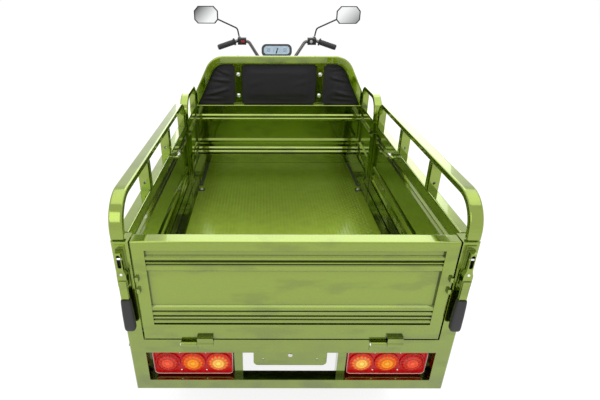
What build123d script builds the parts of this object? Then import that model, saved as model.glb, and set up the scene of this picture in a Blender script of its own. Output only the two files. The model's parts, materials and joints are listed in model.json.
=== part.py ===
from build123d import *
import os
from math import cos, radians, sin, sqrt, tan

# Electric cargo tricycle in millimetres. X is the vehicle's right, Y runs forward from the rear
# face of the corner posts and Z is up from the road. The finished pieces are moved along Y so that
# the middle of the vehicle's length stands over the origin.

# Driving sizes
BOX_L = 1530.0
BOX_HALF_W = 520.0
FLOOR_Z = 590.0
GATE_H = 362.0
RAIL_RISE = 124.0
BACKREST_RISE = 275.0
SEAT_HALF_W = 290.0
SEAT_L = 400.0
SEAT_Z = 655.0
REAR_R = 240.0
FRONT_R = 230.0
FRONT_REACH = 960.0
FOOT_RAIL_Z = 400.0
BAR_Z = 1125.0
RAKE = 24.0

# Clearances between moving pieces and between seated ones
MOVING_GAP = 5.0
FIT_GAP = 0.3

# Cargo box
SILL_LIP = 80.0
SILL_H = 45.0
SILL_T = 4.0
SILL_TUCK = 20.0
FLOOR_T = 5.0
TAILGATE_T = 45.0
WALL_T = 38.0
POST_W = 50.0
POST_EDGE_R = 6.0
MID_POST_D = 40.0
MID_POST_SHORT = 46.0
FRONT_SIDE_L = 422.0
BEARER_COUNT = 5
BEARER_D = 40.0
BEARER_REAR_Y = 75.0
FLOOR_HALF_W = BOX_HALF_W - SILL_LIP
MID_POST_Y = BOX_L - FRONT_SIDE_L
WALL_TOP = FLOOR_Z + GATE_H
SILL_TOP = FLOOR_Z - FLOOR_T
POST_INNER = BOX_HALF_W - POST_W

# Pressed panels: a ribbed sheet in a folded frame
SHEET_T = 4.0
SHEET_RECESS = 8.0
RIB_H = 7.0
STILE_W = 36.0
TOP_RAIL_H = 30.0
LOW_RAIL_H = 58.0
PANEL_EDGE_R = 5.0
# Rib centre below the top edge as a share of the panel's height, crest width, foot width
TAILGATE_RIBS = [(0.159, 8.0, 19.0), (0.200, 3.5, 9.5), (0.252, 15.0, 27.0), (0.668, 12.0, 20.0),
                 (0.722, 9.0, 18.0), (0.768, 4.0, 12.0), (0.810, 8.0, 17.0)]
WALL_RIBS = [(0.178, 4.0, 19.0), (0.232, 4.0, 19.0), (0.612, 12.0, 38.0), (0.738, 4.0, 22.0),
             (0.803, 6.0, 22.0)]

# Lamp frame below the tailgate
CROSS_H = 56.0
CROSS_D = 45.0
WINDOW_H = 126.0
BAR_H = 40.0
BAR_D = 40.0
STRUT_W = 28.0
STRUT_Y = 20.0
BACK_SHEET_T = 3.0
CROSS_Z = SILL_TOP - CROSS_H
BAR_TOP = CROSS_Z - WINDOW_H
LAMP_W = 0.5617 * POST_INNER
LAMP_H = 104.0
LAMP_CORNER = 14.0
LAMP_RIM = 5.0
LAMP_LIFT = 9.0
LAMP_FACE_Y = 25.0
LAMP_X = POST_INNER - 14.0 - LAMP_W / 2
LAMP_Z = BAR_TOP + LAMP_LIFT + LAMP_H / 2
LENS_R = 0.1477 * LAMP_W
LENS_PITCH = 0.322 * LAMP_W
LENS_D = 12.0
LENS_RING = 4.0
STRUT_X = LAMP_X - LAMP_W / 2 - 6.0 - STRUT_W
PLATE_W = 1.5443 * STRUT_X
PLATE_H = 78.0
PLATE_T = 3.0
PLATE_CORNER = 16.0
PLATE_BOLT_PITCH = PLATE_W - 64.0
PLATE_BOLT_DROP = 12.0
PLATE_BOLT_R = 3.5

# Rails above the walls, with their bends and uprights as shares of the rise and of the gate
RAIL_W = 40.0
RAIL_T = 22.0
RAIL_EDGE_R = 6.0
RAIL_Z = WALL_TOP + RAIL_RISE - RAIL_T / 2
RAIL_BENDS = [0.766 * RAIL_RISE, 0.484 * RAIL_RISE]
HOOP_BENDS = [0.685 * RAIL_RISE, 0.403 * RAIL_RISE]
UPRIGHT_D = 28.0
UPRIGHT_Y = [0.3023 * MID_POST_Y, 0.6182 * MID_POST_Y]
ROPE_HOLE_R = 5.0
ROPE_HOLE_UP = 28.0
LOOP_R = 5.0
LOOP_OUT = 26.0
LOOP_L = 46.0

# Hinges of the three gates, and the latches
PIN_R = 4.0
KNUCKLE_R = 8.0
KNUCKLE_L = 50.0
KNUCKLE_STEP = KNUCKLE_L + 2.0
HINGE_OUT = 9.0
HINGE_INSET = 108.0
HINGE_Z = SILL_TOP - KNUCKLE_R
TAILGATE_HINGE_X = 0.577 * BOX_HALF_W
SIDE_HINGE_Y = [POST_W + HINGE_INSET, MID_POST_Y / 2 + POST_W / 2, MID_POST_Y - HINGE_INSET]
LATCH_X = BOX_HALF_W - POST_W / 2
LATCH_OUT = 34.0
GRIP_Z = FLOOR_Z + 60.0
GRIP_L = 117.0
GRIP_HALF_W = 17.0
GRIP_SOCKET = 26.0
HOOD_LOW = GRIP_Z + GRIP_L + 37.0
HOOD_TOP = HOOD_LOW + 128.0
LEVER = ((-11.0, 11.0), (-27.0, -17.0))

# Chassis, rear axle and wheels
HALF_TRACK = BOX_HALF_W - 90.0
RAIL_X = HALF_TRACK - 140.0
CHASSIS_W = 40.0
CHASSIS_H = 70.0
CHASSIS_TOP = SILL_TOP - 40.0
CHASSIS_Z = CHASSIS_TOP - CHASSIS_H / 2
CROSS_TUBE = 40.0
REAR_AXLE_Y = 0.3268 * BOX_L
REAR_TYRE_W = 90.0
AXLE_TUBE_R = 28.0
SPINDLE_R = 15.0
SPRING_HALF = REAR_AXLE_Y - 120.0
SPRING_Z = REAR_R + AXLE_TUBE_R + 12.0
EYE_Z = 385.0
EYE_R = 15.0
EYE_PIN_R = 7.0
HANGER_HALF = 22.0
HANGER_T = 6.0
LEAF_T = 7.0
LEAF_W = 50.0
LEAF_COUNT = 4
MOTOR_R = 82.0
MOTOR_END = RAIL_X - 104.0
RIM_R = 152.0
FLANGE_H = 11.0
REAR_RIM_HALF = 33.0
FRONT_RIM_HALF = 27.0

# Seat, footboard and backrest
SEAT_Y = (BOX_L + 15.0, BOX_L + 15.0 + SEAT_L)
SEAT_PAD_H = 85.0
SEAT_WALL = 5.0
SEAT_CORNER = 30.0
SEAT_PRESS = 3.0
LID_PIN_R = 5.0
LID_TUBE_R = 9.0
LID_Y = SEAT_Y[1] + 10.0
LID_Z = SEAT_Z - 10.0
LID_HALF = SEAT_HALF_W - 185.0
FOOTBOARD_Z = FOOT_RAIL_Z + CHASSIS_H / 2
FOOTBOARD_T = 10.0
FOOTBOARD_HALF_W = RAIL_X + 25.0
BACKREST_TOP = WALL_TOP + BACKREST_RISE
BACKREST_Y = BOX_L - 20.0
BACKREST_D = 25.0
BACKREST_H = 45.0
STRAP_X = 0.452 * BOX_HALF_W
PAD_T = 58.0
PAD_DROP = 28.0

# Front wheel and steering
FRONT_AXLE_Y = BOX_L + FRONT_REACH
NECK_Y = FRONT_AXLE_Y - 310.0
FRONT_TYRE_W = 78.0
FORK_OFFSET = 40.0
LEG_X = 88.0
SLIDER_R = 21.0
STANCHION_R = 14.0
FRONT_AXLE_R = 8.0
STEERER_R = 14.0
HEAD_R = 26.0
CROWN_S = (290.0, 322.0)
HEAD_S = (340.0, 700.0)
FENDER_R = FRONT_R + 25.0

# Steering frame: X right, Y forward and square to the steering axis, Z up along that axis
AXIS_UP = (0, -sin(radians(RAKE)), cos(radians(RAKE)))
AXIS_Y = FRONT_AXLE_Y - FORK_OFFSET * cos(radians(RAKE))
AXIS_Z = FRONT_R - FORK_OFFSET * sin(radians(RAKE))
STEER_PLANE = Plane(origin=(0, AXIS_Y, AXIS_Z), x_dir=(1, 0, 0), z_dir=AXIS_UP)
STEER = STEER_PLANE.location

# Handlebar, controls and mirrors
BAR_R = 11.0
BAR_BEND_R = 30.0
BAR_Y = AXIS_Y - (BAR_Z - AXIS_Z) * tan(radians(RAKE)) + 18.0
# Right half of the bar: out from the middle, ahead of the clamp, above the clamp
BAR_BENDS = [(118.0, 0.0, 0.0), (192.0, 6.0, 113.0), (268.0, 0.0, 117.0), (392.0, -46.0, 81.0)]
BAR_POINTS = [(out, BAR_Y + ahead, BAR_Z + up) for out, ahead, up in BAR_BENDS]
STEM_S = (BAR_Z - AXIS_Z) / cos(radians(RAKE))
CLAMP_HALF_W = 42.0
CLAMP = ((-16.0, 36.0), (STEM_S - 26.0, STEM_S + 14.0))
GRIP_R = 16.0
CONTROL = (236.0, BAR_Y + 3.0, BAR_Z + 115.0)
STALK = (255.0, BAR_Y + 37.0, BAR_Z + 127.0)
MIRROR = (472.0, BAR_Y + 14.0, BAR_Z + 278.0)
# Half outline of a mirror: out from its middle, up from its middle
MIRROR_EDGE = [(58.0, -54.0), (80.0, -30.0), (80.0, 24.0), (52.0, 54.0)]

# Cowl sections: station along the steering axis, half width, nose and wing tip ahead of the axis
COWL = [(282.0, 215.0, 150.0, 10.0), (430.0, 252.0, 172.0, -14.0), (640.0, 238.0, 160.0, -4.0),
        (820.0, 185.0, 112.0, 4.0)]
COWL_T = 5.0
HEAD_LAMP = (190.0, 112.0, 46.0)
HEAD_LAMP_Y = 116.0
HEAD_LAMP_S = 640.0
BEZEL_W = 20.0
BEZEL_D = 50.0
# Horn slots under the head lamp: number, step, height and widths of the lowest and of the step above it
SLOT_COUNT, SLOT_STEP, SLOT_H, SLOT_W, SLOT_GROW = 4, 27.0, 11.0, 120.0, 22.0
SLOT_LOW_S = 395.0
INDICATOR = (178.0, 84.0, 620.0)
INDICATOR_R = 27.0

# Half of the length from the latch grips behind to the front mudguard's lip
ORIGIN_Y = (FRONT_AXLE_Y + FENDER_R - LATCH_OUT) / 2


def span_box(x, y, z):
    """A box between the low and high ends given for each axis."""
    size = [hi - lo for lo, hi in (x, y, z)]
    middle = [(hi + lo) / 2 for lo, hi in (x, y, z)]
    return Pos(*middle) * Box(*size)


def sides(x0, x1):
    """The span between two distances from the middle, on the right and on the left."""
    return [(x0, x1), (-x1, -x0)]


def flipped(shape):
    """The same piece on the other side of the vehicle."""
    return mirror(shape, about=Plane.YZ)


def pair(shape):
    """A piece and its mirror on the left."""
    return [shape, flipped(shape)]


def ring_x(x0, x1, r_in, r_out):
    """A ring or disc about the X axis between two stations."""
    body = Rot(0, 90, 0) * Cylinder(r_out, x1 - x0)
    if r_in > 0:
        body -= Rot(0, 90, 0) * Cylinder(r_in, x1 - x0 + 2)
    return Pos((x0 + x1) / 2, 0, 0) * body


def swept(points, radii, section, x_dir):
    """A bar of the given section along straight runs joined by bends."""
    path = FilletPolyline(*points, radius=radii) if radii else Polyline(*points)
    return sweep(Plane(origin=path @ 0, x_dir=x_dir, z_dir=path % 0) * section, path=path)


def raised(face, depth):
    """A face drawn in X and Z, made solid from Y 0 forward."""
    return extrude(Plane.XZ * face, depth, dir=(0, 1, 0))


def ribbed_panel(length, height, depth, ribs, ribs_inward):
    """A framed pressed panel: length on X from 0, outer face at Y 0, height on Z from 0."""
    frame = span_box((0, length), (0, depth), (0, height))
    frame = fillet(frame.edges().filter_by(Axis.X).group_by(Axis.Z)[-1], PANEL_EDGE_R)
    inner = (STILE_W, length - STILE_W)
    frame -= span_box(inner, (-1, depth + 1), (LOW_RAIL_H, height - TOP_RAIL_H))
    base = depth - SHEET_RECESS - SHEET_T if ribs_inward else SHEET_RECESS
    crest = base + RIB_H if ribs_inward else base - RIB_H
    face = [(base, LOW_RAIL_H - 1)]
    for share, crest_w, foot_w in reversed(ribs):
        middle = height * (1 - share)
        face += [(base, middle - foot_w / 2), (crest, middle - crest_w / 2)]
        face += [(crest, middle + crest_w / 2), (base, middle + foot_w / 2)]
    face.append((base, height - TOP_RAIL_H + 1))
    back = [(y + SHEET_T, z) for y, z in reversed(face)]
    outline = make_face(Plane.YZ * Polyline(*face, *back, close=True))
    sheet = Pos(inner[0] - 1, 0, 0) * extrude(outline, inner[1] - inner[0] + 2, dir=(1, 0, 0))
    return frame + sheet


def moving_knuckle():
    """A gate's hinge leaf about the X axis, with the gate's face at Y = HINGE_OUT."""
    web_top, leaf_low, leaf_top = 24, 15, 27
    barrel = ring_x(0, KNUCKLE_L, 0, KNUCKLE_R)
    web = span_box((0, KNUCKLE_L), (-PIN_R, PIN_R - 1), (0, web_top))
    leaf = span_box((0, KNUCKLE_L), (2, HINGE_OUT), (leaf_low, leaf_top))
    return barrel + web + leaf - ring_x(-1, KNUCKLE_L + 1, 0, PIN_R + FIT_GAP)


def fixed_knuckle():
    """The hinge half that stays on the frame, with the pin standing out of its end."""
    leaf_drop = 34
    barrel = ring_x(0, KNUCKLE_L, 0, KNUCKLE_R)
    leaf = span_box((0, KNUCKLE_L), (HINGE_OUT - SHEET_T, HINGE_OUT), (-leaf_drop, 0))
    pin = ring_x(KNUCKLE_L - 1, 2 * KNUCKLE_L, 0, PIN_R)
    return barrel + leaf + pin


def on_tailgate(shape, x):
    """A hinge half moved to the rear face of the box."""
    return Pos(x - KNUCKLE_L, -HINGE_OUT, HINGE_Z) * shape


def on_right_side(shape, y):
    """A hinge half turned and moved to the right face of the box."""
    return Pos(BOX_HALF_W + HINGE_OUT, y - KNUCKLE_L, HINGE_Z) * Rot(0, 0, 90) * shape


def gate_hinges():
    tail = [on_tailgate(fixed_knuckle(), side * TAILGATE_HINGE_X) for side in (-1, 1)]
    right = [on_right_side(fixed_knuckle(), y) for y in SIDE_HINGE_Y]
    return tail + right + [flipped(piece) for piece in right]


def tailgate():
    """The rear gate with its hinge leaves and the two lugs that each latch pulls on."""
    half = POST_INNER - MOVING_GAP
    panel = ribbed_panel(2 * half, GATE_H, TAILGATE_T, TAILGATE_RIBS, False)
    gate = Pos(-half, 0, FLOOR_Z) * panel
    for side in (-1, 1):
        gate += on_tailgate(Pos(KNUCKLE_STEP, 0, 0) * moving_knuckle(), side * TAILGATE_HINGE_X)
    lug_w, lug_h, lug_out, lug_step = 9, 16, 9, 42
    for x in sides(half - 1 - lug_w, half - 1):
        for row in range(2):
            z = HOOD_LOW - 28 + row * lug_step
            gate += span_box(x, (-lug_out, 1), (z, z + lug_h))
    return gate


def side_gate():
    """The right drop side with its hinge leaves and the tie loop inside."""
    y0 = POST_W + MOVING_GAP
    length = MID_POST_Y - MOVING_GAP - y0
    panel = ribbed_panel(length, GATE_H, WALL_T, WALL_RIBS, True)
    gate = Pos(BOX_HALF_W, y0, FLOOR_Z) * Rot(0, 0, 90) * panel
    for y in SIDE_HINGE_Y:
        gate += on_right_side(Pos(KNUCKLE_STEP, 0, 0) * moving_knuckle(), y)
    face, z = BOX_HALF_W - WALL_T, WALL_TOP - 20
    rear, front = UPRIGHT_Y[1] + 15, UPRIGHT_Y[1] + 15 + LOOP_L
    points = [(face + 1, rear, z), (face - LOOP_OUT, rear, z), (face - LOOP_OUT, front, z),
              (face + 1, front, z)]
    return gate + swept(points, [2 * LOOP_R, 2 * LOOP_R], Circle(LOOP_R), (0, 0, 1))


def rail(y0, y1, radii, z0, z1):
    """A flat tube up from one wall top, along and down again."""
    x = BOX_HALF_W - RAIL_W / 2
    points = [(x, y0, z0), (x, y0, RAIL_Z), (x, y1, RAIL_Z), (x, y1, z1)]
    return swept(points, radii, RectangleRounded(RAIL_W, RAIL_T, RAIL_EDGE_R), (1, 0, 0))


def side_rail():
    """The right drop side's rail, with two flat uprights bored for rope."""
    rear = RAIL_T / 2 + 3
    body = rail(rear, MID_POST_Y - 25, RAIL_BENDS, WALL_TOP + MOVING_GAP, WALL_TOP)
    for y in UPRIGHT_Y:
        x = (BOX_HALF_W - RAIL_W, BOX_HALF_W)
        post = span_box(x, (y, y + UPRIGHT_D), (WALL_TOP, RAIL_Z - RAIL_T / 2 + 1))
        post = fillet(post.edges().filter_by(Axis.Z), 3)
        hole = Rot(90, 0, 0) * Cylinder(ROPE_HOLE_R, 4 * UPRIGHT_D)
        body += post - Pos(BOX_HALF_W - RAIL_W / 2, y, WALL_TOP + ROPE_HOLE_UP) * hole
    return body


def front_side():
    """The short fixed side panel ahead of the drop side, with its hoop."""
    y0, y1 = MID_POST_Y + MID_POST_D, BOX_L - WALL_T
    panel = ribbed_panel(y1 - y0, WALL_TOP - SILL_TOP, WALL_T, WALL_RIBS, True)
    body = Pos(BOX_HALF_W, y0, SILL_TOP) * Rot(0, 0, 90) * panel
    return body + rail(y0 + 20, y1 - 16, HOOP_BENDS, WALL_TOP - 1, WALL_TOP - 1)


def mid_post():
    """The right post between the drop side and the fixed panel, with its sleeve and sloped foot."""
    sleeve_out, foot_out, foot_h, foot_slope = 5, 26, 46, 40
    x = (BOX_HALF_W - POST_W - SHEET_T, BOX_HALF_W - 6)
    y = (MID_POST_Y, MID_POST_Y + MID_POST_D)
    top = WALL_TOP - MID_POST_SHORT
    post = span_box(x, y, (SILL_TOP, top))
    sleeve = span_box((x[0] - sleeve_out, x[1]), y, (FLOOR_Z + 0.525 * GATE_H, top - 6))
    foot = span_box((x[0] - foot_out, x[0] + 1), y, (SILL_TOP, SILL_TOP + foot_h))
    wedge = span_box((-2 * foot_h, 0), (y[0] - 1, y[1] + 1), (-2 * foot_h, 2 * foot_h))
    foot -= Pos(x[0] - foot_out, 0, SILL_TOP + foot_h + 4) * Rot(0, foot_slope, 0) * wedge
    return post + sleeve + foot


def front_wall():
    panel = ribbed_panel(2 * BOX_HALF_W, WALL_TOP - SILL_TOP, WALL_T, WALL_RIBS, False)
    return Pos(-BOX_HALF_W, BOX_L - WALL_T, SILL_TOP) * panel


def rear_frame():
    """Corner posts, the cross beam under the tailgate, the low bar and the backs of the lamp bays."""
    low = BAR_TOP - BAR_H
    span = (-POST_INNER - 1, POST_INNER + 1)
    body = span_box(span, (0, CROSS_D), (CROSS_Z, SILL_TOP))
    body += span_box(span, (0, BAR_D), (low, BAR_TOP))
    post = span_box((POST_INNER, BOX_HALF_W), (0, POST_W), (low, WALL_TOP))
    post = fillet(post.edges().filter_by(Axis.Z).group_by(Axis.X)[-1], POST_EDGE_R)
    body += post + flipped(post)
    for strut, sheet in zip(sides(STRUT_X, STRUT_X + STRUT_W), sides(STRUT_X, POST_INNER + 1)):
        body += span_box(strut, (STRUT_Y, CROSS_D), (BAR_TOP - 1, CROSS_Z + 1))
        body += span_box(sheet, (CROSS_D, CROSS_D + BACK_SHEET_T), (low + 5, CROSS_Z + 20))
    return body


def box_frame():
    """The two channel sills, tucked under the floor's edges, and the cross bearers that carry it."""
    edge, lip, toe = BOX_HALF_W, FLOOR_HALF_W - SILL_TUCK, FLOOR_HALF_W + 25
    low = SILL_TOP - SILL_H
    outline = [(lip, SILL_TOP), (edge, SILL_TOP), (edge, low), (toe, low), (toe, low + SILL_T),
               (edge - SILL_T, low + SILL_T), (edge - SILL_T, SILL_TOP - SILL_T), (lip, SILL_TOP - SILL_T)]
    face = make_face(Plane.XZ * Polyline(*outline, close=True))
    sill = Pos(0, POST_W, 0) * extrude(face, BOX_L - POST_W, dir=(0, 1, 0))
    body = sill + flipped(sill)
    pitch = (BOX_L - BEARER_D - BEARER_REAR_Y) / (BEARER_COUNT - 1)
    for index in range(BEARER_COUNT):
        y = BEARER_REAR_Y + index * pitch
        body += span_box((-edge + 3, edge - 3), (y, y + BEARER_D), (CHASSIS_TOP, SILL_TOP))
    return body


def box_floor():
    y = (TAILGATE_T + MOVING_GAP, BOX_L - WALL_T - 2)
    return span_box((-FLOOR_HALF_W, FLOOR_HALF_W), y, (SILL_TOP, FLOOR_Z))


def latch():
    """The right tailgate latch, closed: back plate, slotted hood, its pin and the lever."""
    top_half, half, tail_half, shoulder, depth = 11, 17, 14, 62, 21
    right = [(top_half, HOOD_TOP), (top_half + 1, HOOD_TOP - shoulder), (half, HOOD_TOP - shoulder - 16),
             (half, HOOD_LOW + 12), (tail_half, HOOD_LOW)]
    left = [(-x, z) for x, z in reversed(right)]
    outline = make_face(Polyline(*right, *left, close=True))
    hood = extrude(Plane.XZ * outline, depth, dir=(0, -1, 0), taper=10)
    hood -= Pos(0, -depth - 1, 0) * raised(Pos(0, HOOD_TOP - 32) * SlotOverall(44, 11, rotation=90), 14)
    plate = span_box((-14, 14), (-SHEET_T, 0), (HOOD_LOW - 8, HOOD_TOP + 10))
    pin = Pos(0, -depth + 6, HOOD_TOP - 24) * ring_x(-top_half + 2, top_half - 2, 0, PIN_R)
    lever = span_box(*LEVER, (GRIP_Z + GRIP_SOCKET, HOOD_LOW + 30))
    return Pos(LATCH_X, 0, 0) * (Pos(0, -SHEET_T + 1, 0) * (hood + pin) + plate + lever)


def latch_grip():
    """The rubber sleeve on the latch lever."""
    grip = span_box((-GRIP_HALF_W, GRIP_HALF_W), (-LATCH_OUT, -10), (GRIP_Z, GRIP_Z + GRIP_L))
    grip = fillet(grip.edges().filter_by(Axis.Z), 6)
    room = [(lo - FIT_GAP, hi + FIT_GAP) for lo, hi in LEVER]
    socket = span_box(*room, (GRIP_Z + GRIP_SOCKET - FIT_GAP, GRIP_Z + GRIP_L + 1))
    return Pos(LATCH_X, 0, 0) * (grip - socket)


def lamp_housing():
    """The right tail lamp's body with a raised rim."""
    outer = RectangleRounded(LAMP_W, LAMP_H, LAMP_CORNER)
    inner = RectangleRounded(LAMP_W - 2 * LAMP_RIM, LAMP_H - 2 * LAMP_RIM, LAMP_CORNER - LAMP_RIM)
    body = raised(outer, CROSS_D - LAMP_FACE_Y)
    body += Pos(0, -LAMP_RIM, 0) * raised(outer - inner, LAMP_RIM + 1)
    return Pos(LAMP_X, LAMP_FACE_Y, LAMP_Z) * body


def lamp_lens(index):
    """One domed lens of the right lamp, counted from the middle of the vehicle outward."""
    tip = 0.2 * LENS_R
    edge = Polyline((tip, -LENS_D), (0, -LENS_D), (0, 0), (LENS_R, 0), (LENS_R, -LENS_RING))
    edge += ThreePointArc((LENS_R, -LENS_RING), (0.74 * LENS_R, -LENS_D + 2), (tip, -LENS_D))
    lens = revolve(make_face(edge), axis=Axis.Y)
    return Pos(LAMP_X + (index - 1) * LENS_PITCH, LAMP_FACE_Y, LAMP_Z) * lens


def plate_bracket():
    """The hanging bracket of the number plate, with rounded lower corners and two bolt holes."""
    z = CROSS_Z - PLATE_H / 2
    face = Pos(0, z) * Rectangle(PLATE_W, PLATE_H)
    face = fillet(face.vertices().sort_by(Axis.Y)[:2], PLATE_CORNER)
    for side in (-1, 1):
        face -= Pos(side * PLATE_BOLT_PITCH / 2, z - PLATE_BOLT_DROP) * Circle(PLATE_BOLT_R)
    return Pos(0, STRUT_Y, 0) * raised(face, PLATE_T)


def backrest_frame():
    """The bent tube on the front wall, with the two straps that hold the pad."""
    y, half_d, bend = BACKREST_Y, BACKREST_D / 2, 0.345 * BACKREST_RISE
    foot = (BOX_HALF_W - 8, y, WALL_TOP - 25)
    corner = (0.715 * BOX_HALF_W, y, BACKREST_TOP - BACKREST_H / 2)
    points = [(-foot[0], *foot[1:]), (-corner[0], *corner[1:]), corner, foot]
    tube = swept(points, [bend, bend], RectangleRounded(BACKREST_D, BACKREST_H, 7), (0, 1, 0))
    tube -= span_box((-2 * BOX_HALF_W, 2 * BOX_HALF_W), (y - 50, y + 50), (SILL_TOP, WALL_TOP))
    strap_half, tab_half, tab_h, ridge_half = 20, 30, 9, 15
    for x in (-STRAP_X, STRAP_X):
        strap = (WALL_TOP, BACKREST_TOP - BACKREST_H + 5)
        tube += span_box((x - strap_half, x + strap_half), (y + half_d - 5, y + half_d), strap)
        ridge = (WALL_TOP + 12, BACKREST_TOP - BACKREST_H - 15)
        tube += span_box((x - ridge_half, x + ridge_half), (y + 3, y + 8), ridge)
        for z in (WALL_TOP, BACKREST_TOP - BACKREST_H - tab_h):
            tube += span_box((x - tab_half, x + tab_half), (y - 2, y + half_d), (z, z + tab_h))
    return tube


def backrest_pad():
    """The driver's back pad, narrower at the top, seated on the straps and hung over the wall's front."""
    low, high = WALL_TOP - PAD_DROP, BACKREST_TOP - 30
    low_x, high_x = BOX_HALF_W - 30, BOX_HALF_W - 158
    outline = FilletPolyline((-low_x, low), (low_x, low), (high_x, high), (-high_x, high),
                             radius=[30, 30, 60, 60], close=True)
    pad = raised(make_face(outline), PAD_T)
    pad = fillet(pad.faces().sort_by(Axis.Y)[-1].edges(), 16)
    pad = Pos(0, BACKREST_Y + BACKREST_D / 2 + FIT_GAP, 0) * pad
    wall = ((-BOX_HALF_W, BOX_HALF_W), (BOX_L - WALL_T, BOX_L + FIT_GAP), (SILL_TOP, WALL_TOP + FIT_GAP))
    return pad - span_box(*wall)


def seat_bucket():
    """The driver's seat box: open shell with pressed panels, and the lid's hinge pin in front."""
    x = (-SEAT_HALF_W, SEAT_HALF_W)
    shell = span_box(x, SEAT_Y, (FOOTBOARD_Z, SEAT_Z))
    shell = fillet(shell.edges().filter_by(Axis.Z), SEAT_CORNER)
    press_z = (FOOTBOARD_Z + 45, SEAT_Z - 50)
    for span in sides(SEAT_HALF_W - 1, SEAT_HALF_W + SEAT_PRESS):
        shell += span_box(span, (SEAT_Y[0] + 60, SEAT_Y[1] - 60), press_z)
    press = span_box((x[0] + 70, x[1] - 70), (SEAT_Y[1] - 1, SEAT_Y[1] + SEAT_PRESS), press_z)
    shell += press
    inner = span_box((x[0] + SEAT_WALL, x[1] - SEAT_WALL), (SEAT_Y[0] + SEAT_WALL, SEAT_Y[1] - SEAT_WALL),
                     (FOOTBOARD_Z + SEAT_WALL, SEAT_Z + 1))
    shell -= fillet(inner.edges().filter_by(Axis.Z), SEAT_CORNER - SEAT_WALL)
    for span in sides(LID_HALF + 5, LID_HALF + 45):
        shell += span_box(span, (SEAT_Y[1] - 1, LID_Y), (LID_Z - 20, LID_Z + 6))
    return shell + Pos(0, LID_Y, LID_Z) * ring_x(-LID_HALF - 44, LID_HALF + 44, 0, LID_PIN_R)


def seat_hinge():
    """The lid's hinge tube on the bucket's front pin, with the flap that carries the lid."""
    tube = ring_x(-LID_HALF, LID_HALF, 0, LID_TUBE_R)
    flap = span_box((-LID_HALF, LID_HALF), (-LID_TUBE_R, LID_TUBE_R), (0, SEAT_Z + FIT_GAP - LID_Z))
    bore = ring_x(-LID_HALF - 5, LID_HALF + 5, 0, LID_PIN_R + FIT_GAP)
    return Pos(0, LID_Y, LID_Z) * (tube + flap - bore)


def seat_cushion():
    z0 = SEAT_Z + FIT_GAP
    half = SEAT_HALF_W + 10
    pad = span_box((-half, half), (SEAT_Y[0] - 5, SEAT_Y[1] + 25), (z0, z0 + SEAT_PAD_H))
    pad = fillet(pad.edges().filter_by(Axis.Z), 45)
    return fillet(pad.faces().sort_by(Axis.Z)[-1].edges(), 22)


def battery_pack():
    low, half, inset = FOOTBOARD_Z + SEAT_WALL, SEAT_HALF_W - 90, 105
    case = span_box((-half, half), (SEAT_Y[0] + inset, SEAT_Y[1] - inset), (low, low + 175))
    return fillet(case.edges().filter_by(Axis.Z), 12)


def chassis_frame():
    """Ladder rails that step down under the seat, cross tubes, spring hangers, neck and head tube."""
    points = [(RAIL_X, CROSS_D + BACK_SHEET_T, CHASSIS_Z), (RAIL_X, BOX_L - 200, CHASSIS_Z),
              (RAIL_X, BOX_L - 60, FOOT_RAIL_Z), (RAIL_X, NECK_Y + 25, FOOT_RAIL_Z)]
    one = swept(points, [80, 80], Rectangle(CHASSIS_W, CHASSIS_H), (1, 0, 0))
    body = one + flipped(one)
    cross_tubes = [(130, CHASSIS_Z), (REAR_AXLE_Y + 140, CHASSIS_Z), (BOX_L - 290, CHASSIS_Z),
                   (SEAT_Y[0] + 55, FOOT_RAIL_Z), (SEAT_Y[1] + 15, FOOT_RAIL_Z), (NECK_Y, FOOT_RAIL_Z)]
    half = CROSS_TUBE / 2
    for y, z in cross_tubes:
        body += span_box((-RAIL_X, RAIL_X), (y - half, y + half), (z - half, z + half))
    low = CHASSIS_TOP - CHASSIS_H
    inner, outer = RAIL_X - LEAF_W / 2 - HANGER_T - 2, RAIL_X + LEAF_W / 2 + HANGER_T + 2
    for y in (REAR_AXLE_Y - SPRING_HALF, REAR_AXLE_Y + SPRING_HALF):
        hanger = (y - HANGER_HALF, y + HANGER_HALF)
        plates = sides(inner, inner + HANGER_T) + sides(outer - HANGER_T, outer)
        for plate in plates:
            body += span_box(plate, hanger, (EYE_Z - HANGER_HALF, low + 20))
        for cap in sides(inner, outer):
            body += span_box(cap, hanger, (low - 12, low + 1))
            body += Pos(0, y, EYE_Z) * ring_x(*cap, 0, EYE_PIN_R)
    head = STEER * (Pos(0, 0, sum(HEAD_S) / 2) * Cylinder(HEAD_R, HEAD_S[1] - HEAD_S[0]))
    neck = swept([(0, NECK_Y, FOOT_RAIL_Z), steer_point(0, 0, HEAD_S[0] + 150)], [], Circle(27), (1, 0, 0))
    bore = Pos(0, 0, sum(HEAD_S) / 2) * Cylinder(STEERER_R + FIT_GAP, HEAD_S[1] - HEAD_S[0] + 200)
    return body + neck + head - STEER * bore


def steer_point(u, v, s):
    """A point of the steering frame in the vehicle's frame."""
    point = STEER_PLANE.from_local_coords((u, v, s))
    return (point.X, point.Y, point.Z)


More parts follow.
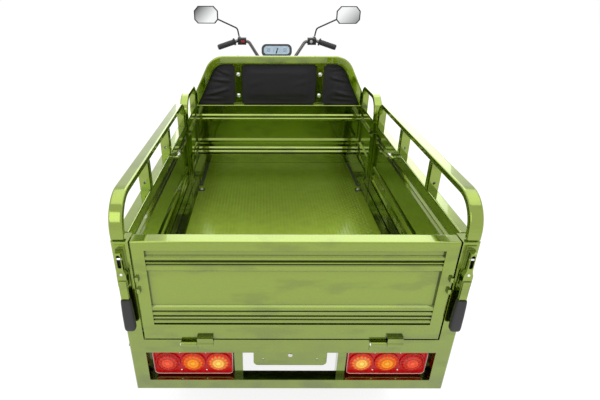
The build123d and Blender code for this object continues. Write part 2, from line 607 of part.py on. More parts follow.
def leaf_spring():
    """The right leaf pack, longest leaf on top with an eye at each end."""
    top = SPRING_Z + LEAF_COUNT * LEAF_T
    rise = EYE_Z - 10 - top
    radius = (SPRING_HALF ** 2 + rise ** 2) / (2 * rise)
    leaves = []
    for index in range(LEAF_COUNT):
        half = SPRING_HALF * (1 - 0.2 * index) - (4 if index == 0 else 0)
        r0, r1 = radius + index * LEAF_T, radius + (index + 1) * LEAF_T
        low = [(y, -sqrt(r1 ** 2 - y ** 2)) for y in (-half, half)]
        high = [(y, -sqrt(r0 ** 2 - y ** 2)) for y in (-half, half)]
        edge = ThreePointArc(low[0], (0, -r1), low[1])
        edge += Line(low[1], high[1])
        edge += ThreePointArc(high[1], (0, -r0), high[0])
        edge += Line(high[0], low[0])
        leaf = extrude(Plane.YZ * make_face(edge), LEAF_W / 2, dir=(1, 0, 0), both=True)
        leaves.append(Pos(0, 0, top + radius) * leaf)
    body = leaves[0] + leaves[1:]
    for side in (-1, 1):
        end = Pos(0, side * SPRING_HALF, EYE_Z)
        body += end * ring_x(-LEAF_W / 2, LEAF_W / 2, 0, EYE_R)
        body -= end * ring_x(-LEAF_W, LEAF_W, 0, EYE_PIN_R + FIT_GAP)
    seat = span_box((-30, 30), (-45, 45), (REAR_R + AXLE_TUBE_R - 6, SPRING_Z + 1))
    seat -= Pos(0, 0, REAR_R) * ring_x(-50, 50, 0, AXLE_TUBE_R + FIT_GAP)
    return Pos(RAIL_X, REAR_AXLE_Y, 0) * (body + seat)


def rear_axle():
    """The axle tube with brake plates, spindles and the gear case."""
    tube_end, plate_r, plate_t = HALF_TRACK - 78, 95, 8
    body = ring_x(-tube_end, tube_end, 0, AXLE_TUBE_R)
    body += ring_x(-HALF_TRACK - 24, HALF_TRACK + 24, 0, SPINDLE_R)
    for plate in sides(tube_end - 9, tube_end - 9 + plate_t):
        body += ring_x(*plate, 0, plate_r)
    case = span_box((-20, 90), (-88, 120), (-88, 70))
    case = fillet(case.edges().filter_by(Axis.X), 40)
    return Pos(0, REAR_AXLE_Y, REAR_R) * (body + case)


def drive_motor():
    """The finned motor beside the gear case, relieved where the axle tube passes."""
    end, face, fins, fin_depth, fin_half = MOTOR_END - 16, 20, 5, 6, 5
    body = ring_x(-end, -face, 0, MOTOR_R) + ring_x(-MOTOR_END, -end + 1, 0, 60)
    pitch = (MOTOR_END - 98) / (fins - 1)
    for index in range(fins):
        x = -end + 20 + index * pitch
        body -= ring_x(x - fin_half, x + fin_half, MOTOR_R - fin_depth, MOTOR_R + fin_depth)
    motor = Pos(0, REAR_AXLE_Y + 118, REAR_R - 4) * body
    return motor - Pos(0, REAR_AXLE_Y, REAR_R) * ring_x(-HALF_TRACK, HALF_TRACK, 0, AXLE_TUBE_R + 8)


def rear_mudguard():
    """The right mudguard over its wheel, hung from the sill."""
    x0, x1 = HALF_TRACK - 58, HALF_TRACK + 56
    inner, outer, skirt, low = REAR_R + 24, REAR_R + 27, REAR_R - 10, 60
    ring = ring_x(x0, x1, inner, outer) + ring_x(x0, x0 + 3, skirt, outer)
    keep = span_box((0, 2 * BOX_HALF_W), (-2 * REAR_R, 2 * REAR_R), (low, 2 * REAR_R))
    guard = Pos(0, REAR_AXLE_Y, REAR_R) * (ring & keep)
    for y in (REAR_AXLE_Y - 70, REAR_AXLE_Y + 70):
        hanger = (2 * REAR_R + 15, SILL_TOP - SILL_H)
        guard += span_box((FLOOR_HALF_W + 26, FLOOR_HALF_W + 44), (y - 12, y + 12), hanger)
    return guard


def tyre(radius, width, rim_half_w):
    """A tyre whose beads sit between the rim's flanges, centred on its axle."""
    a, b = rim_half_w - FIT_GAP, RIM_R + FIT_GAP
    wall, shoulder, low = b + FLANGE_H + 2, width * 0.40, radius - width * 0.11
    edge = Polyline((-a, wall), (-a, b), (a, b), (a, wall))
    edge += ThreePointArc((a, wall), (width / 2, (wall + low) / 2), (shoulder, low))
    edge += ThreePointArc((shoulder, low), (0, radius), (-shoulder, low))
    edge += ThreePointArc((-shoulder, low), (-width / 2, (wall + low) / 2), (-a, wall))
    return revolve(Plane.XZ * make_face(edge), axis=Axis.X)


def rim(half_w):
    """The wheel's barrel with its two bead flanges."""
    barrel = ring_x(-half_w, half_w, RIM_R - 10, RIM_R)
    for flange in sides(half_w, half_w + 5):
        barrel += ring_x(*flange, RIM_R - 10, RIM_R + FLANGE_H)
    return barrel


def rear_rim():
    """The right rear wheel: pressed disc, hub, dust cap and brake drum, centred on its axle."""
    hub_r, cap_r, drum_r, hole_r, hole_count = 46, 27, 88, 13, 6
    body = rim(REAR_RIM_HALF) + ring_x(8, 14, hub_r - 6, RIM_R - 9) + ring_x(-34, 30, 0, hub_r)
    body += ring_x(29, 42, 0, cap_r) + ring_x(-70, 9, drum_r - 10, drum_r)
    for spot in PolarLocations((drum_r + RIM_R - 6) / 2, hole_count):
        body -= Rot(0, 90, 0) * spot * Cylinder(hole_r, 60)
    return body - ring_x(-100, 27, 0, SPINDLE_R + FIT_GAP)


def front_rim():
    """The front wheel: cast spokes between a drum hub and the barrel, centred on its axle."""
    hub_r, drum_r, spokes = 30, 62, 5
    body = rim(FRONT_RIM_HALF) + ring_x(-36, 36, 0, hub_r) + ring_x(-30, 8, hub_r - 1, drum_r)
    for index in range(spokes):
        arm = span_box((-11, 11), (-15, 15), (hub_r - 2, RIM_R - 9))
        body += Rot(360 / spokes * index, 0, 0) * arm
    return body - ring_x(-100, 100, 0, FRONT_AXLE_R + FIT_GAP)


def fork():
    """Crown, steerer, both legs, front axle and the handlebar clamp."""
    body = span_box((-112, 112), (-28, FORK_OFFSET + 26), CROWN_S)
    body += Pos(0, 0, (CROWN_S[0] + STEM_S) / 2) * Cylinder(STEERER_R, STEM_S - CROWN_S[0])
    body += Pos(0, 0, CROWN_S[1] + 6) * Cylinder(24, 14)
    for side in (-1, 1):
        leg = Pos(side * LEG_X, FORK_OFFSET, 0)
        body += leg * Pos(0, 0, 210) * Cylinder(STANCHION_R, 200)
        body += leg * Pos(0, 0, 62) * Cylinder(SLIDER_R, 170)
    for spacer in sides(40, LEG_X - 15):
        body += Pos(0, FORK_OFFSET, 0) * ring_x(*spacer, 0, 14)
    body += Pos(0, FORK_OFFSET, 0) * ring_x(-LEG_X - 28, LEG_X + 28, 0, FRONT_AXLE_R)
    body += span_box((-CLAMP_HALF_W, CLAMP_HALF_W), *CLAMP)
    hole = Pos(0, BAR_Y, BAR_Z) * ring_x(-60, 60, 0, BAR_R + FIT_GAP)
    return STEER * body - hole


def fork_boot(side):
    """One ribbed dust boot between its slider and the crown."""
    folds, fold_l, start = 7, 20, 149
    boot = None
    for index in range(folds):
        radius = 24 if index % 2 else 20
        length = fold_l + (0.8 if index < folds - 1 else 0)
        fold = Pos(0, 0, start + (index + 0.5) * fold_l) * Cylinder(radius, length)
        boot = fold if boot is None else boot + fold
    boot -= Pos(0, 0, start + folds * fold_l / 2) * Cylinder(STANCHION_R + FIT_GAP, 2 * folds * fold_l)
    return STEER * Pos(side * LEG_X, FORK_OFFSET, 0) * boot


def front_mudguard():
    """The valanced guard round the front tyre, on a stem below the fork crown."""
    shell, lip_r, edge_r = 3, FENDER_R - 50, FENDER_R - 12
    outer = [(-52, lip_r), (-49, edge_r), (-30, FENDER_R), (30, FENDER_R), (49, edge_r), (52, lip_r)]
    inner = [(49, lip_r), (46, edge_r - 2), (29, FENDER_R - shell), (-29, FENDER_R - shell),
             (-46, edge_r - 2), (-49, lip_r)]
    face = make_face(Plane.XZ * Polyline(*outer, *inner, close=True))
    guard = Rot(-80, 0, 0) * revolve(face, axis=Axis.X, revolution_arc=150)
    guard = Pos(0, FRONT_AXLE_Y, FRONT_R) * guard
    stem = span_box((-18, 18), (FORK_OFFSET - 14, FORK_OFFSET + 14), (FENDER_R - 2, CROWN_S[0]))
    return guard + STEER * stem


def handlebar():
    left = [(-x, y, z) for x, y, z in reversed(BAR_POINTS)]
    bends = 2 * (len(BAR_POINTS) - 1)
    return swept(left + BAR_POINTS, [BAR_BEND_R] * bends, Circle(BAR_R), (0, 0, 1))


def along_grip(start, end, radius):
    """A round sleeve on the right grip's straight run, between two fractions of it."""
    a, b = Vector(*BAR_POINTS[2]), Vector(*BAR_POINTS[3])
    p, q = a + (b - a) * start, a + (b - a) * end
    plane = Plane(origin=p, x_dir=(0, 0, 1), z_dir=(b - a).normalized())
    bore_l = (q - p).length + (0 if end > 1 else 2)
    bore = extrude(plane * Pos(0, 0, -1) * Circle(BAR_R + FIT_GAP), bore_l)
    return extrude(plane * Circle(radius), (q - p).length) - bore


def grip():
    return along_grip(0.16, 1.02, GRIP_R) + along_grip(0.13, 0.19, GRIP_R + 6)


def control():
    """The right switch housing with the brake lever ahead of the grip."""
    x, y, z = CONTROL
    case = fillet(Box(56, 46, 46).edges().filter_by(Axis.X), 12)
    post = span_box((STALK[0] - 10, STALK[0] + 13), (y + 8, STALK[1] + 12), (STALK[2] - 20, STALK[2]))
    lever = swept([(258, y + 33, z + 2), (290, y + 47, z - 2), (380, y + 9, z - 32)], [20],
                  Rectangle(9, 12), (0, 0, 1))
    bar = swept(BAR_POINTS, [BAR_BEND_R] * 2, Circle(BAR_R + FIT_GAP), (0, 0, 1))
    return Pos(x, y, z) * case + post + lever - bar


def mirror_case(scale):
    """The mirror's eight-sided outline, drawn smaller for the glass."""
    right = [(scale * x, scale * z) for x, z in MIRROR_EDGE]
    left = [(-x, z) for x, z in reversed(right)]
    return make_face(Polyline(*right, *left, close=True))


def mirror_body():
    """The right mirror: stalk nut, bent stem and housing."""
    x, y, z = MIRROR
    sx, sy, sz = STALK
    nut = Pos(sx, sy, sz + 6) * Cylinder(10, 12)
    stem = swept([(sx, sy, sz + 6), (sx + 13, sy - 4, sz + 66), (x - 30, y + 8, z - 8)], [25], Circle(5),
                 (1, 0, 0))
    case = extrude(Plane.XZ * mirror_case(1.0), 26, dir=(0, 1, 0), taper=22)
    return stem + nut + Pos(x, y, z) * case


def mirror_glass():
    return Pos(*MIRROR) * extrude(Plane.XZ * mirror_case(0.9), 2, dir=(0, -1, 0))


def dash_place():
    """The dash pod's middle, leaned back towards the driver."""
    return Pos(0, BAR_Y + 18, BAR_Z + 54) * Rot(-35, 0, 0)


def dash_pod():
    """The instrument pod on a foot that is relieved round the handlebar clamp."""
    pod = extrude(Plane.XZ * RectangleRounded(208, 92, 34), 34, dir=(0, 1, 0), taper=12)
    foot = span_box((-34, 34), (14, 30), (-78, -30))
    reach = CLAMP_HALF_W + FIT_GAP
    clear = STEER * span_box((-reach, reach), *[(lo - FIT_GAP, hi + FIT_GAP) for lo, hi in CLAMP])
    cut = dash_place() * (pod + foot) - clear
    return cut.solids().sort_by(SortBy.VOLUME)[-1]


def dash_screen():
    return dash_place() * extrude(Plane.XZ * RectangleRounded(176, 60, 22), 1.5, dir=(0, -1, 0))


def cowl_section(s, half, nose, wing):
    """A thin bow across the vehicle at one station of the steering axis."""
    edge = ThreePointArc((-half, wing), (0, nose), (half, wing))
    edge += Line((half, wing), (half - COWL_T, wing))
    edge += ThreePointArc((half - COWL_T, wing), (0, nose - COWL_T), (-half + COWL_T, wing))
    edge += Line((-half + COWL_T, wing), (-half, wing))
    return Pos(0, 0, s) * make_face(edge)


def head_lamp_form(grow):
    """The head lamp's tapering block, or the slightly larger hole for it."""
    width, height, corner = [size + grow for size in HEAD_LAMP]
    block = extrude(Plane.XZ * RectangleRounded(width, height, corner), 60, dir=(0, 1, 0), taper=10)
    return STEER * Pos(0, HEAD_LAMP_Y, HEAD_LAMP_S) * block


def indicator():
    body = Rot(90, 0, 0) * Cylinder(INDICATOR_R, 50)
    body = fillet(body.edges().sort_by(Axis.Y)[-1:], 10)
    return STEER * Pos(*INDICATOR) * body


def front_cowl():
    """The bowed nose shell with lamp bezel, horn slots and the arms that hold it to the head tube."""
    shell = STEER * loft([cowl_section(*row) for row in COWL])
    width, height, corner = HEAD_LAMP
    rim = RectangleRounded(width + 2 * BEZEL_W, height + 2 * BEZEL_W, corner + BEZEL_W)
    bezel = extrude(Plane.XZ * rim, BEZEL_D, dir=(0, 1, 0), taper=12)
    shell += STEER * Pos(0, HEAD_LAMP_Y, HEAD_LAMP_S) * bezel
    shell -= head_lamp_form(2 * FIT_GAP)
    for index in range(SLOT_COUNT):
        slot = SlotOverall(SLOT_W + index * SLOT_GROW, SLOT_H)
        place = Pos(0, HEAD_R + 40, SLOT_LOW_S + index * SLOT_STEP)
        shell -= STEER * place * raised(slot, 2 * HEAD_LAMP_Y)
    for side in (-1, 1):
        hole = Rot(90, 0, 0) * Cylinder(INDICATOR_R + FIT_GAP, 120)
        shell -= STEER * Pos(side * INDICATOR[0], *INDICATOR[1:]) * hole
    for s in (HEAD_S[0] + 60, HEAD_S[1] - 100):
        for span in sides(20, 235):
            arm = span_box(span, (12, 20), (s - 15, s + 15))
            shell += STEER * (arm - Pos(0, 0, s) * Cylinder(HEAD_R + FIT_GAP, 60))
    return shell


def footboard():
    """The driver's floor with pressed ribs, a turned-up front edge and a slot round the neck."""
    y = (SEAT_Y[1] + 25, NECK_Y + 56)
    x = (-FOOTBOARD_HALF_W, FOOTBOARD_HALF_W)
    top = FOOTBOARD_Z + FOOTBOARD_T
    board = span_box(x, y, (FOOTBOARD_Z, top))
    board += span_box(x, (y[1] - 8, y[1]), (FOOTBOARD_Z, top + 50))
    rib_count, rib_half, rib_h = 3, 11, 4
    for index in range(rib_count):
        middle = FOOTBOARD_HALF_W * (0.3 + 0.27 * index)
        for rib in sides(middle - rib_half, middle + rib_half):
            board += span_box(rib, (y[0] + 20, NECK_Y - 55), (top - 1, top + rib_h))
    slot = span_box((-46, 46), (NECK_Y - 60, NECK_Y + 120), (FOOTBOARD_Z - 1, top + 90))
    return board - slot


def brake_pedal():
    """The foot brake on the right of the floor."""
    x, base = 0.54 * FOOTBOARD_HALF_W, FOOTBOARD_Z + FOOTBOARD_T
    y = NECK_Y + 25
    arm = swept([(x, y, base), (x, y, base + 40), (x, y - 55, base + 95)], [20], Rectangle(14, 14), (1, 0, 0))
    pad = fillet(Box(72, 62, 10).edges().filter_by(Axis.Z), 10)
    return arm + Pos(x, y - 57, base + 98) * Rot(40, 0, 0) * pad


def build_parts():
    """Every node's solids by name."""
    rear_tyre = tyre(REAR_R, REAR_TYRE_W, REAR_RIM_HALF)
    rear_place = Pos(HALF_TRACK, REAR_AXLE_Y, REAR_R)
    front_place = Pos(0, FRONT_AXLE_Y, FRONT_R)
    gate, gate_rail, short_side = side_gate(), side_rail(), front_side()
    return {
        "chassis_frame": [chassis_frame()],
        "rear_axle": [rear_axle()],
        "drive_motor": [drive_motor()],
        "leaf_springs": pair(leaf_spring()),
        "rear_mudguards": pair(rear_mudguard()),
        "box_frame": [box_frame()],
        "box_floor": [box_floor()],
        "rear_frame": [rear_frame()],
        "front_wall": [front_wall()],
        "front_side_right": [short_side],
        "front_side_left": [flipped(short_side)],
        "mid_posts": pair(mid_post()),
        "gate_hinges": gate_hinges(),
        "tail_lamp_housings": pair(lamp_housing()),
        "tail_lamp_red": pair(lamp_lens(2)),
        "tail_lamp_amber": pair(lamp_lens(1)),
        "tail_lamp_clear": pair(lamp_lens(0)),
        "plate_bracket": [plate_bracket()],
        "tailgate_latches": pair(latch()),
        "latch_grips": pair(latch_grip()),
        "backrest_frame": [backrest_frame()],
        "backrest_pad": [backrest_pad()],
        "seat_bucket": [seat_bucket()],
        "battery_pack": [battery_pack()],
        "seat_hinge": [seat_hinge()],
        "seat_cushion": [seat_cushion()],
        "footboard": [footboard()],
        "brake_pedal": [brake_pedal()],
        "front_cowl": [front_cowl()],
        "head_lamp": [head_lamp_form(0)],
        "front_indicators": pair(indicator()),
        "tailgate": [tailgate()],
        "side_gate_right": [gate],
        "side_gate_left": [flipped(gate)],
        "side_rail_right": [gate_rail],
        "side_rail_left": [flipped(gate_rail)],
        "fork": [fork()],
        "fork_boots": [fork_boot(side) for side in (-1, 1)],
        "front_mudguard": [front_mudguard()],
        "handlebar": [handlebar()],
        "grips": pair(grip()),
        "controls": pair(control()),
        "mirrors": pair(mirror_body()),
        "mirror_glass": pair(mirror_glass()),
        "dash_pod": [dash_pod()],
        "dash_screen": [dash_screen()],
        "front_tyre": [front_place * tyre(FRONT_R, FRONT_TYRE_W, FRONT_RIM_HALF)],
        "front_rim": [front_place * front_rim()],
        "rear_tyre_right": [rear_place * rear_tyre],
        "rear_tyre_left": [flipped(rear_place * rear_tyre)],
        "rear_rim_right": [rear_place * rear_rim()],
        "rear_rim_left": [flipped(rear_place * rear_rim())],
    }


def main():
    os.makedirs("parts", exist_ok=True)
    for name, shapes in build_parts().items():
        solids = []
        for shape in shapes:
            solids += list((Pos(0, -ORIGIN_Y, 0) * shape).solids())
        export_step(solids[0] if len(solids) == 1 else Compound(solids), f"parts/{name}.step")
        print(name, len(solids))


if __name__ == "__main__":
    main()
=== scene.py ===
"""Looks of an electric cargo tricycle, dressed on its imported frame.

The frame gives every rigid shape. This script adds the finishes, the soft goods and the small fittings.
Lengths are metres in the row frame: X to the vehicle's right, Y forward and Z up from the road.
"""

import json
import logging
import math
from dataclasses import dataclass, field, replace
from enum import Enum
from typing import Callable, ClassVar, Iterable, Sequence

import bmesh
import bpy
from mathutils import Matrix, Vector
from mathutils.bvhtree import BVHTree

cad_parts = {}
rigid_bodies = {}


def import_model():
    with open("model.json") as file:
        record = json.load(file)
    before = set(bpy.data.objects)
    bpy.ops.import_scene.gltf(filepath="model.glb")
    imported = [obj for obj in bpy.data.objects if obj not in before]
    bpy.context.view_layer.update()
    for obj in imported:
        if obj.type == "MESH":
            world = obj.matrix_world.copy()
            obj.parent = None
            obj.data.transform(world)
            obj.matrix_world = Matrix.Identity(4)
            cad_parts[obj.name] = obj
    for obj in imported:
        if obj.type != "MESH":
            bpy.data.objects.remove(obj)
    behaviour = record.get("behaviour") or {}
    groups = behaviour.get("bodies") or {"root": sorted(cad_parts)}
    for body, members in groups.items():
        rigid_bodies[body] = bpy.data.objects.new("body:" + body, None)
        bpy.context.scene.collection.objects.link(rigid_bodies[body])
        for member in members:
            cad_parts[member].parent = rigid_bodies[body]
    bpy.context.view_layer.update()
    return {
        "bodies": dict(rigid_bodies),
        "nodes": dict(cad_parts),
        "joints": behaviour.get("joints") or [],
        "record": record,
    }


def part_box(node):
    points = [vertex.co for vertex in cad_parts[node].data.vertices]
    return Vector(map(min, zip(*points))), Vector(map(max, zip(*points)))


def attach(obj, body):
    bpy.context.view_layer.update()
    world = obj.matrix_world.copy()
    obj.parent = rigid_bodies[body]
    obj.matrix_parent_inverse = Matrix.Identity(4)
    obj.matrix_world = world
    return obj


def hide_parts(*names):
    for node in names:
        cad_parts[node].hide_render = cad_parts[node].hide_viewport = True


Color = tuple[float, float, float]
Point = Sequence[float]
Outline = Sequence[tuple[float, float]]
Obj = bpy.types.Object
Socket = bpy.types.NodeSocket
Sockets = bpy.types.bpy_prop_collection

LOG = logging.getLogger("cargo_tricycle")
SHARP_ANGLE = math.radians(35)
RIGHT, AHEAD, UP = Vector((1, 0, 0)), Vector((0, 1, 0)), Vector((0, 0, 1))
BACK = -AHEAD
SIDES = (-1, 1)
RAKE = math.radians(24)
STEER_UP = Vector((0, -math.sin(RAKE), math.cos(RAKE)))
STEER_AHEAD = Vector((0, math.cos(RAKE), math.sin(RAKE)))
MIRROR_X = 0.472


class Effect(Enum):
    """Surface effects that a finish can ask for, each one shared shader group."""

    NONE = "none"
    # The flake group also paints shade and dark reflections into the paint's colour.
    FLAKE_AND_PAINTED_SHADE = "metal_flake"
    LEATHER = "leather_grain"
    FINE = "fine_grain"
    BRUSHED = "brushed"
    PAINTED_REFLECTION = "mirror_fade"


class Body(Enum):
    """Bodies of the frame that added pieces ride on."""

    CHASSIS = "chassis"
    STEERING = "steering"
    FRONT_WHEEL = "front_wheel"
    REAR_RIGHT = "rear_wheel_right"
    REAR_LEFT = "rear_wheel_left"
    GATE_RIGHT = "side_gate_right"
    GATE_LEFT = "side_gate_left"
    SEAT_LID = "seat_lid"


class Graph:
    """Adds and links nodes in one shader tree."""

    def __init__(self, tree: bpy.types.NodeTree) -> None:
        """Keeps the tree that the nodes go in."""
        self.tree = tree

    def add(self, kind: str, inputs: dict | None = None, **settings) -> bpy.types.Node:
        """Adds one node.

        Args:
            kind: Node type without its ShaderNode prefix.
            inputs: Input name or number to a plain value or to an output socket to link.
            settings: Attributes of the node.

        Returns:
            The new node.
        """
        prefix = "" if kind.startswith("NodeGroup") else "ShaderNode"
        node = self.tree.nodes.new(prefix + kind)
        for name, value in settings.items():
            setattr(node, name, value)
        for name, value in (inputs or {}).items():
            self.put(value, node.inputs[name])
        return node

    def put(self, value: object, target: Socket) -> None:
        """Links an output socket to an input, or sets the input to a plain value.

        Args:
            value: An output socket or a plain value.
            target: The input.
        """
        if isinstance(value, Socket):
            self.tree.links.new(value, target)
        else:
            target.default_value = value

    def math(self, operation: str, first: object, second: object = 0.0) -> Socket:
        """The result of a maths node on two values or sockets."""
        return self.add("Math", {0: first, 1: second}, operation=operation).outputs[0]

    def ramp(self, value: object, low: object, high: object, start: object, end: object) -> Socket:
        """A value taken from one range to another and held at its ends."""
        return self.add("MapRange", {"Value": value, "From Min": low, "From Max": high, "To Min": start,
                                     "To Max": end}).outputs[0]

    def noise(self, vector: Socket, scale: object, detail: float = 2.0) -> Socket:
        """Noise at a place."""
        return self.add("TexNoise", {"Vector": vector, "Scale": scale, "Detail": detail}).outputs[0]

    def drawn(self, vector: Socket, factors: Color) -> Socket:
        """A place scaled along each axis, which draws a pattern out."""
        return self.add("VectorMath", {0: vector, 1: factors}, operation="MULTIPLY").outputs[0]

    def parts(self, vector: Socket) -> Sockets:
        """The X, Y and Z of a vector."""
        return self.add("SeparateXYZ", {"Vector": vector}).outputs

    def shaded(self, color: Socket, amount: Socket) -> Socket:
        """A colour made darker or lighter by an amount."""
        return self.add("VectorMath", {0: color, "Scale": amount}, operation="SCALE").outputs[0]

    def mixed(self, share: Socket, first: Socket, second: Socket) -> Socket:
        """A mix of two colours by the share of the second.

        Args:
            share: Share of the second colour.
            first: First colour.
            second: Second colour.

        Returns:
            The mixed colour.
        """
        node = self.add("Mix", data_type="RGBA")
        ends = (("Factor", "VALUE", share), ("A", "RGBA", first), ("B", "RGBA", second))
        for label, kind, source in ends:
            self.put(source, [s for s in node.inputs if s.name == label and s.type == kind][0])
        return [socket for socket in node.outputs if socket.type == "RGBA"][0]


def cleared(owner: bpy.types.ID) -> Graph:
    """The graph of a material or world, with every node taken out.

    Args:
        owner: The material or world.

    Returns:
        The graph of its empty tree.
    """
    owner.use_nodes = True
    owner.node_tree.nodes.clear()
    return Graph(owner.node_tree)


class EffectLibrary:
    """The shared shader groups, each made once by the method of its name."""

    KINDS = {"Vector": "Vector", "Normal": "Vector", "Centre": "Vector", "Color": "Color", "Core": "Color",
             "DustAndShade": "Color"}
    PATTERN = ("Vector", "Color", "Scale")
    GIVEN = {"soft_edges": ("Radius",), "lens_facets": ("Vector", "Color", "Core", "Centre", "Radius"),
             "road_dust": ("Vector", "Color", "DustAndShade", "Amount", "Top")}

    def __init__(self) -> None:
        """Starts with no group made."""
        self.made: dict[str, bpy.types.ShaderNodeTree] = {}

    def group(self, name: str) -> bpy.types.ShaderNodeTree:
        """The group of that name, made on first use.

        Args:
            name: Name of the group and of its method.

        Returns:
            The group's tree.
        """
        if name not in self.made:
            tree = self.made[name] = bpy.data.node_groups.new(name, "ShaderNodeTree")
            graph = Graph(tree)
            self.sockets(tree, "INPUT", self.GIVEN.get(name, self.PATTERN))
            results = getattr(self, name)(graph, graph.add("NodeGroupInput").outputs)
            self.sockets(tree, "OUTPUT", results)
            graph.add("NodeGroupOutput", results)
        return self.made[name]

    def sockets(self, tree: bpy.types.ShaderNodeTree, way: str, labels: Iterable[str]) -> None:
        """Gives a group sockets.

        Args:
            tree: The group.
            way: INPUT or OUTPUT.
            labels: Names of the sockets.
        """
        for label in labels:
            kind = "NodeSocket" + self.KINDS.get(label, "Float")
            tree.interface.new_socket(label, in_out=way, socket_type=kind)

    def soft_edges(self, graph: Graph, given: Sockets) -> dict[str, Socket]:
        """Rounds the look of sharp edges: a normal from a bevel of the given radius."""
        return {"Normal": graph.add("Bevel", {"Radius": given["Radius"]}, samples=4).outputs["Normal"]}

    def metal_flake(self, graph: Graph, given: Sockets) -> dict[str, Socket]:
        """Metallic paint: flake sparkle, dark patches that are painted reflection, painted shade in the
        creases, and a slow wave in the sheet.

        Args:
            graph: Graph of the group.
            given: Inputs of the group.

        Returns:
            Its results by name.
        """
        place = given["Vector"]
        flake = graph.add("TexVoronoi", {"Vector": place, "Scale": given["Scale"]})
        sparkle = graph.ramp(flake.outputs["Color"], 0.0, 1.0, 0.88, 1.12)
        # Dark stretched patches are painted reflection: they stand in for dark reflections in the paint.
        smear_noise = graph.noise(graph.drawn(place, (1.0, 1.0, 2.6)), 6.0, 4.0)
        painted_reflection_patches = graph.ramp(smear_noise, 0.36, 0.46, 0.82, 1.0)
        # Darkening where the surface is hemmed in within 3 cm is painted shade in the creases and seams.
        sky = graph.add("AmbientOcclusion", {"Distance": 0.03}, samples=6, only_local=True)
        creases = graph.ramp(sky.outputs["AO"], 0.45, 0.95, 0.3, 1.0)
        tone = graph.math("MULTIPLY", graph.math("MULTIPLY", sparkle, painted_reflection_patches), creases)
        return {"Color": graph.shaded(given["Color"], tone), "Height": graph.noise(place, 9.0, 1.0)}

    def leather_grain(self, graph: Graph, given: Sockets) -> dict[str, Socket]:
        """Leatherette: pebbles between fine creases.

        Args:
            graph: Graph of the group.
            given: Inputs of the group.

        Returns:
            Its results by name.
        """
        pebble = graph.add("TexVoronoi", {"Vector": given["Vector"], "Scale": given["Scale"]},
                           feature="DISTANCE_TO_EDGE")
        crease = graph.ramp(pebble.outputs["Distance"], 0.0, 0.25, 0.0, 1.0)
        tone = graph.ramp(crease, 0.0, 1.0, 0.65, 1.0)
        return {"Color": graph.shaded(given["Color"], tone), "Height": crease}

    def fine_grain(self, graph: Graph, given: Sockets) -> dict[str, Socket]:
        """Moulded or cast skin: a fine even noise.

        Args:
            graph: Graph of the group.
            given: Inputs of the group.

        Returns:
            Its results by name.
        """
        noise = graph.noise(given["Vector"], given["Scale"], 3.0)
        tone = graph.ramp(noise, 0.0, 1.0, 0.8, 1.2)
        return {"Color": graph.shaded(given["Color"], tone), "Height": noise}

    def brushed(self, graph: Graph, given: Sockets) -> dict[str, Socket]:
        """Plated or drawn metal: streaks along one direction.

        Args:
            graph: Graph of the group.
            given: Inputs of the group.

        Returns:
            Its results by name.
        """
        noise = graph.noise(graph.drawn(given["Vector"], (1.0, 0.06, 1.0)), given["Scale"])
        tone = graph.ramp(noise, 0.0, 1.0, 0.85, 1.15)
        return {"Color": graph.shaded(given["Color"], tone), "Height": noise}

    def mirror_fade(self, graph: Graph, given: Sockets) -> dict[str, Socket]:
        """Mirror glass with a painted reflection, dim on its outer side: the left one above the scale's
        height, the right one below.

        Args:
            graph: Graph of the group.
            given: Inputs of the group.

        Returns:
            Its results by name.
        """
        spot = graph.parts(given["Vector"])
        side = graph.math("SIGN", spot["X"])
        inward = graph.math("SUBTRACT", MIRROR_X, graph.math("ABSOLUTE", spot["X"]))
        rise = graph.math("MULTIPLY", side, graph.math("SUBTRACT", spot["Z"], given["Scale"]))
        fall = graph.math("ADD", inward, rise)
        dim = graph.ramp(side, -1.0, 1.0, 0.06, 0.3)
        tone = graph.ramp(fall, -0.11, 0.05, dim, 1.0)
        return {"Color": graph.shaded(given["Color"], tone), "Height": fall}

    def lens_facets(self, graph: Graph, given: Sockets) -> dict[str, Socket]:
        """Round lamp lens: flutes and rings about a centre, with painted shading on its facets and a painted
        highlight in the middle.

        Args:
            graph: Graph of the group.
            given: Inputs of the group.

        Returns:
            Its results by name.
        """
        spot, centre = graph.parts(given["Vector"]), graph.parts(given["Centre"])
        across = graph.math("SUBTRACT", graph.math("ABSOLUTE", spot["X"]), centre["X"])
        above = graph.math("SUBTRACT", spot["Z"], centre["Z"])
        squares = [graph.math("MULTIPLY", side, side) for side in (across, above)]
        share = graph.math("DIVIDE", graph.math("SQRT", graph.math("ADD", *squares)), given["Radius"])
        flute = graph.math("SINE", graph.math("MULTIPLY", graph.math("ARCTAN2", above, across), 14.0))
        ring = graph.math("SINE", graph.math("MULTIPLY", share, 19.0))
        flutes = graph.math("MULTIPLY", flute, graph.ramp(share, 0.3, 0.5, 0.0, 1.0))
        height = graph.math("ADD", flutes, ring)
        # The bright middle is a painted highlight.
        reach = graph.math("ADD", share, graph.math("MULTIPLY", flute, 0.14))
        core = graph.ramp(reach, 0.2, 0.85, 1.0, 0.0)
        # Lighter and darker facets by the flutes' and rings' height are painted shading.
        tone = graph.ramp(height, -1.6, 1.6, 0.6, 1.3)
        color = graph.mixed(core, given["Color"], given["Core"])
        return {"Color": graph.shaded(color, tone), "Height": height}

    def road_dust(self, graph: Graph, given: Sockets) -> dict[str, Socket]:
        """A film that thins out with height above the road: a dusting on most finishes, and painted shade
        where its colour is dark, as on the green paint.

        Args:
            graph: Graph of the group.
            given: Inputs of the group.

        Returns:
            Its results by name.
        """
        low = graph.ramp(graph.parts(given["Vector"])["Z"], 0.0, given["Top"], 1.0, 0.0)
        cover = graph.math("MULTIPLY", low, graph.noise(given["Vector"], 14.0, 5.0))
        mask = graph.math("MULTIPLY", cover, given["Amount"])
        return {"Color": graph.mixed(mask, given["Color"], given["DustAndShade"])}


EFFECTS = EffectLibrary()


@dataclass(frozen=True)
class Lens:
    """Where a lens finish has its rings: centre, radius and the colour of its painted highlight in the
    middle.
    """

    centre: tuple[float, float, float]
    radius: float
    core: Color


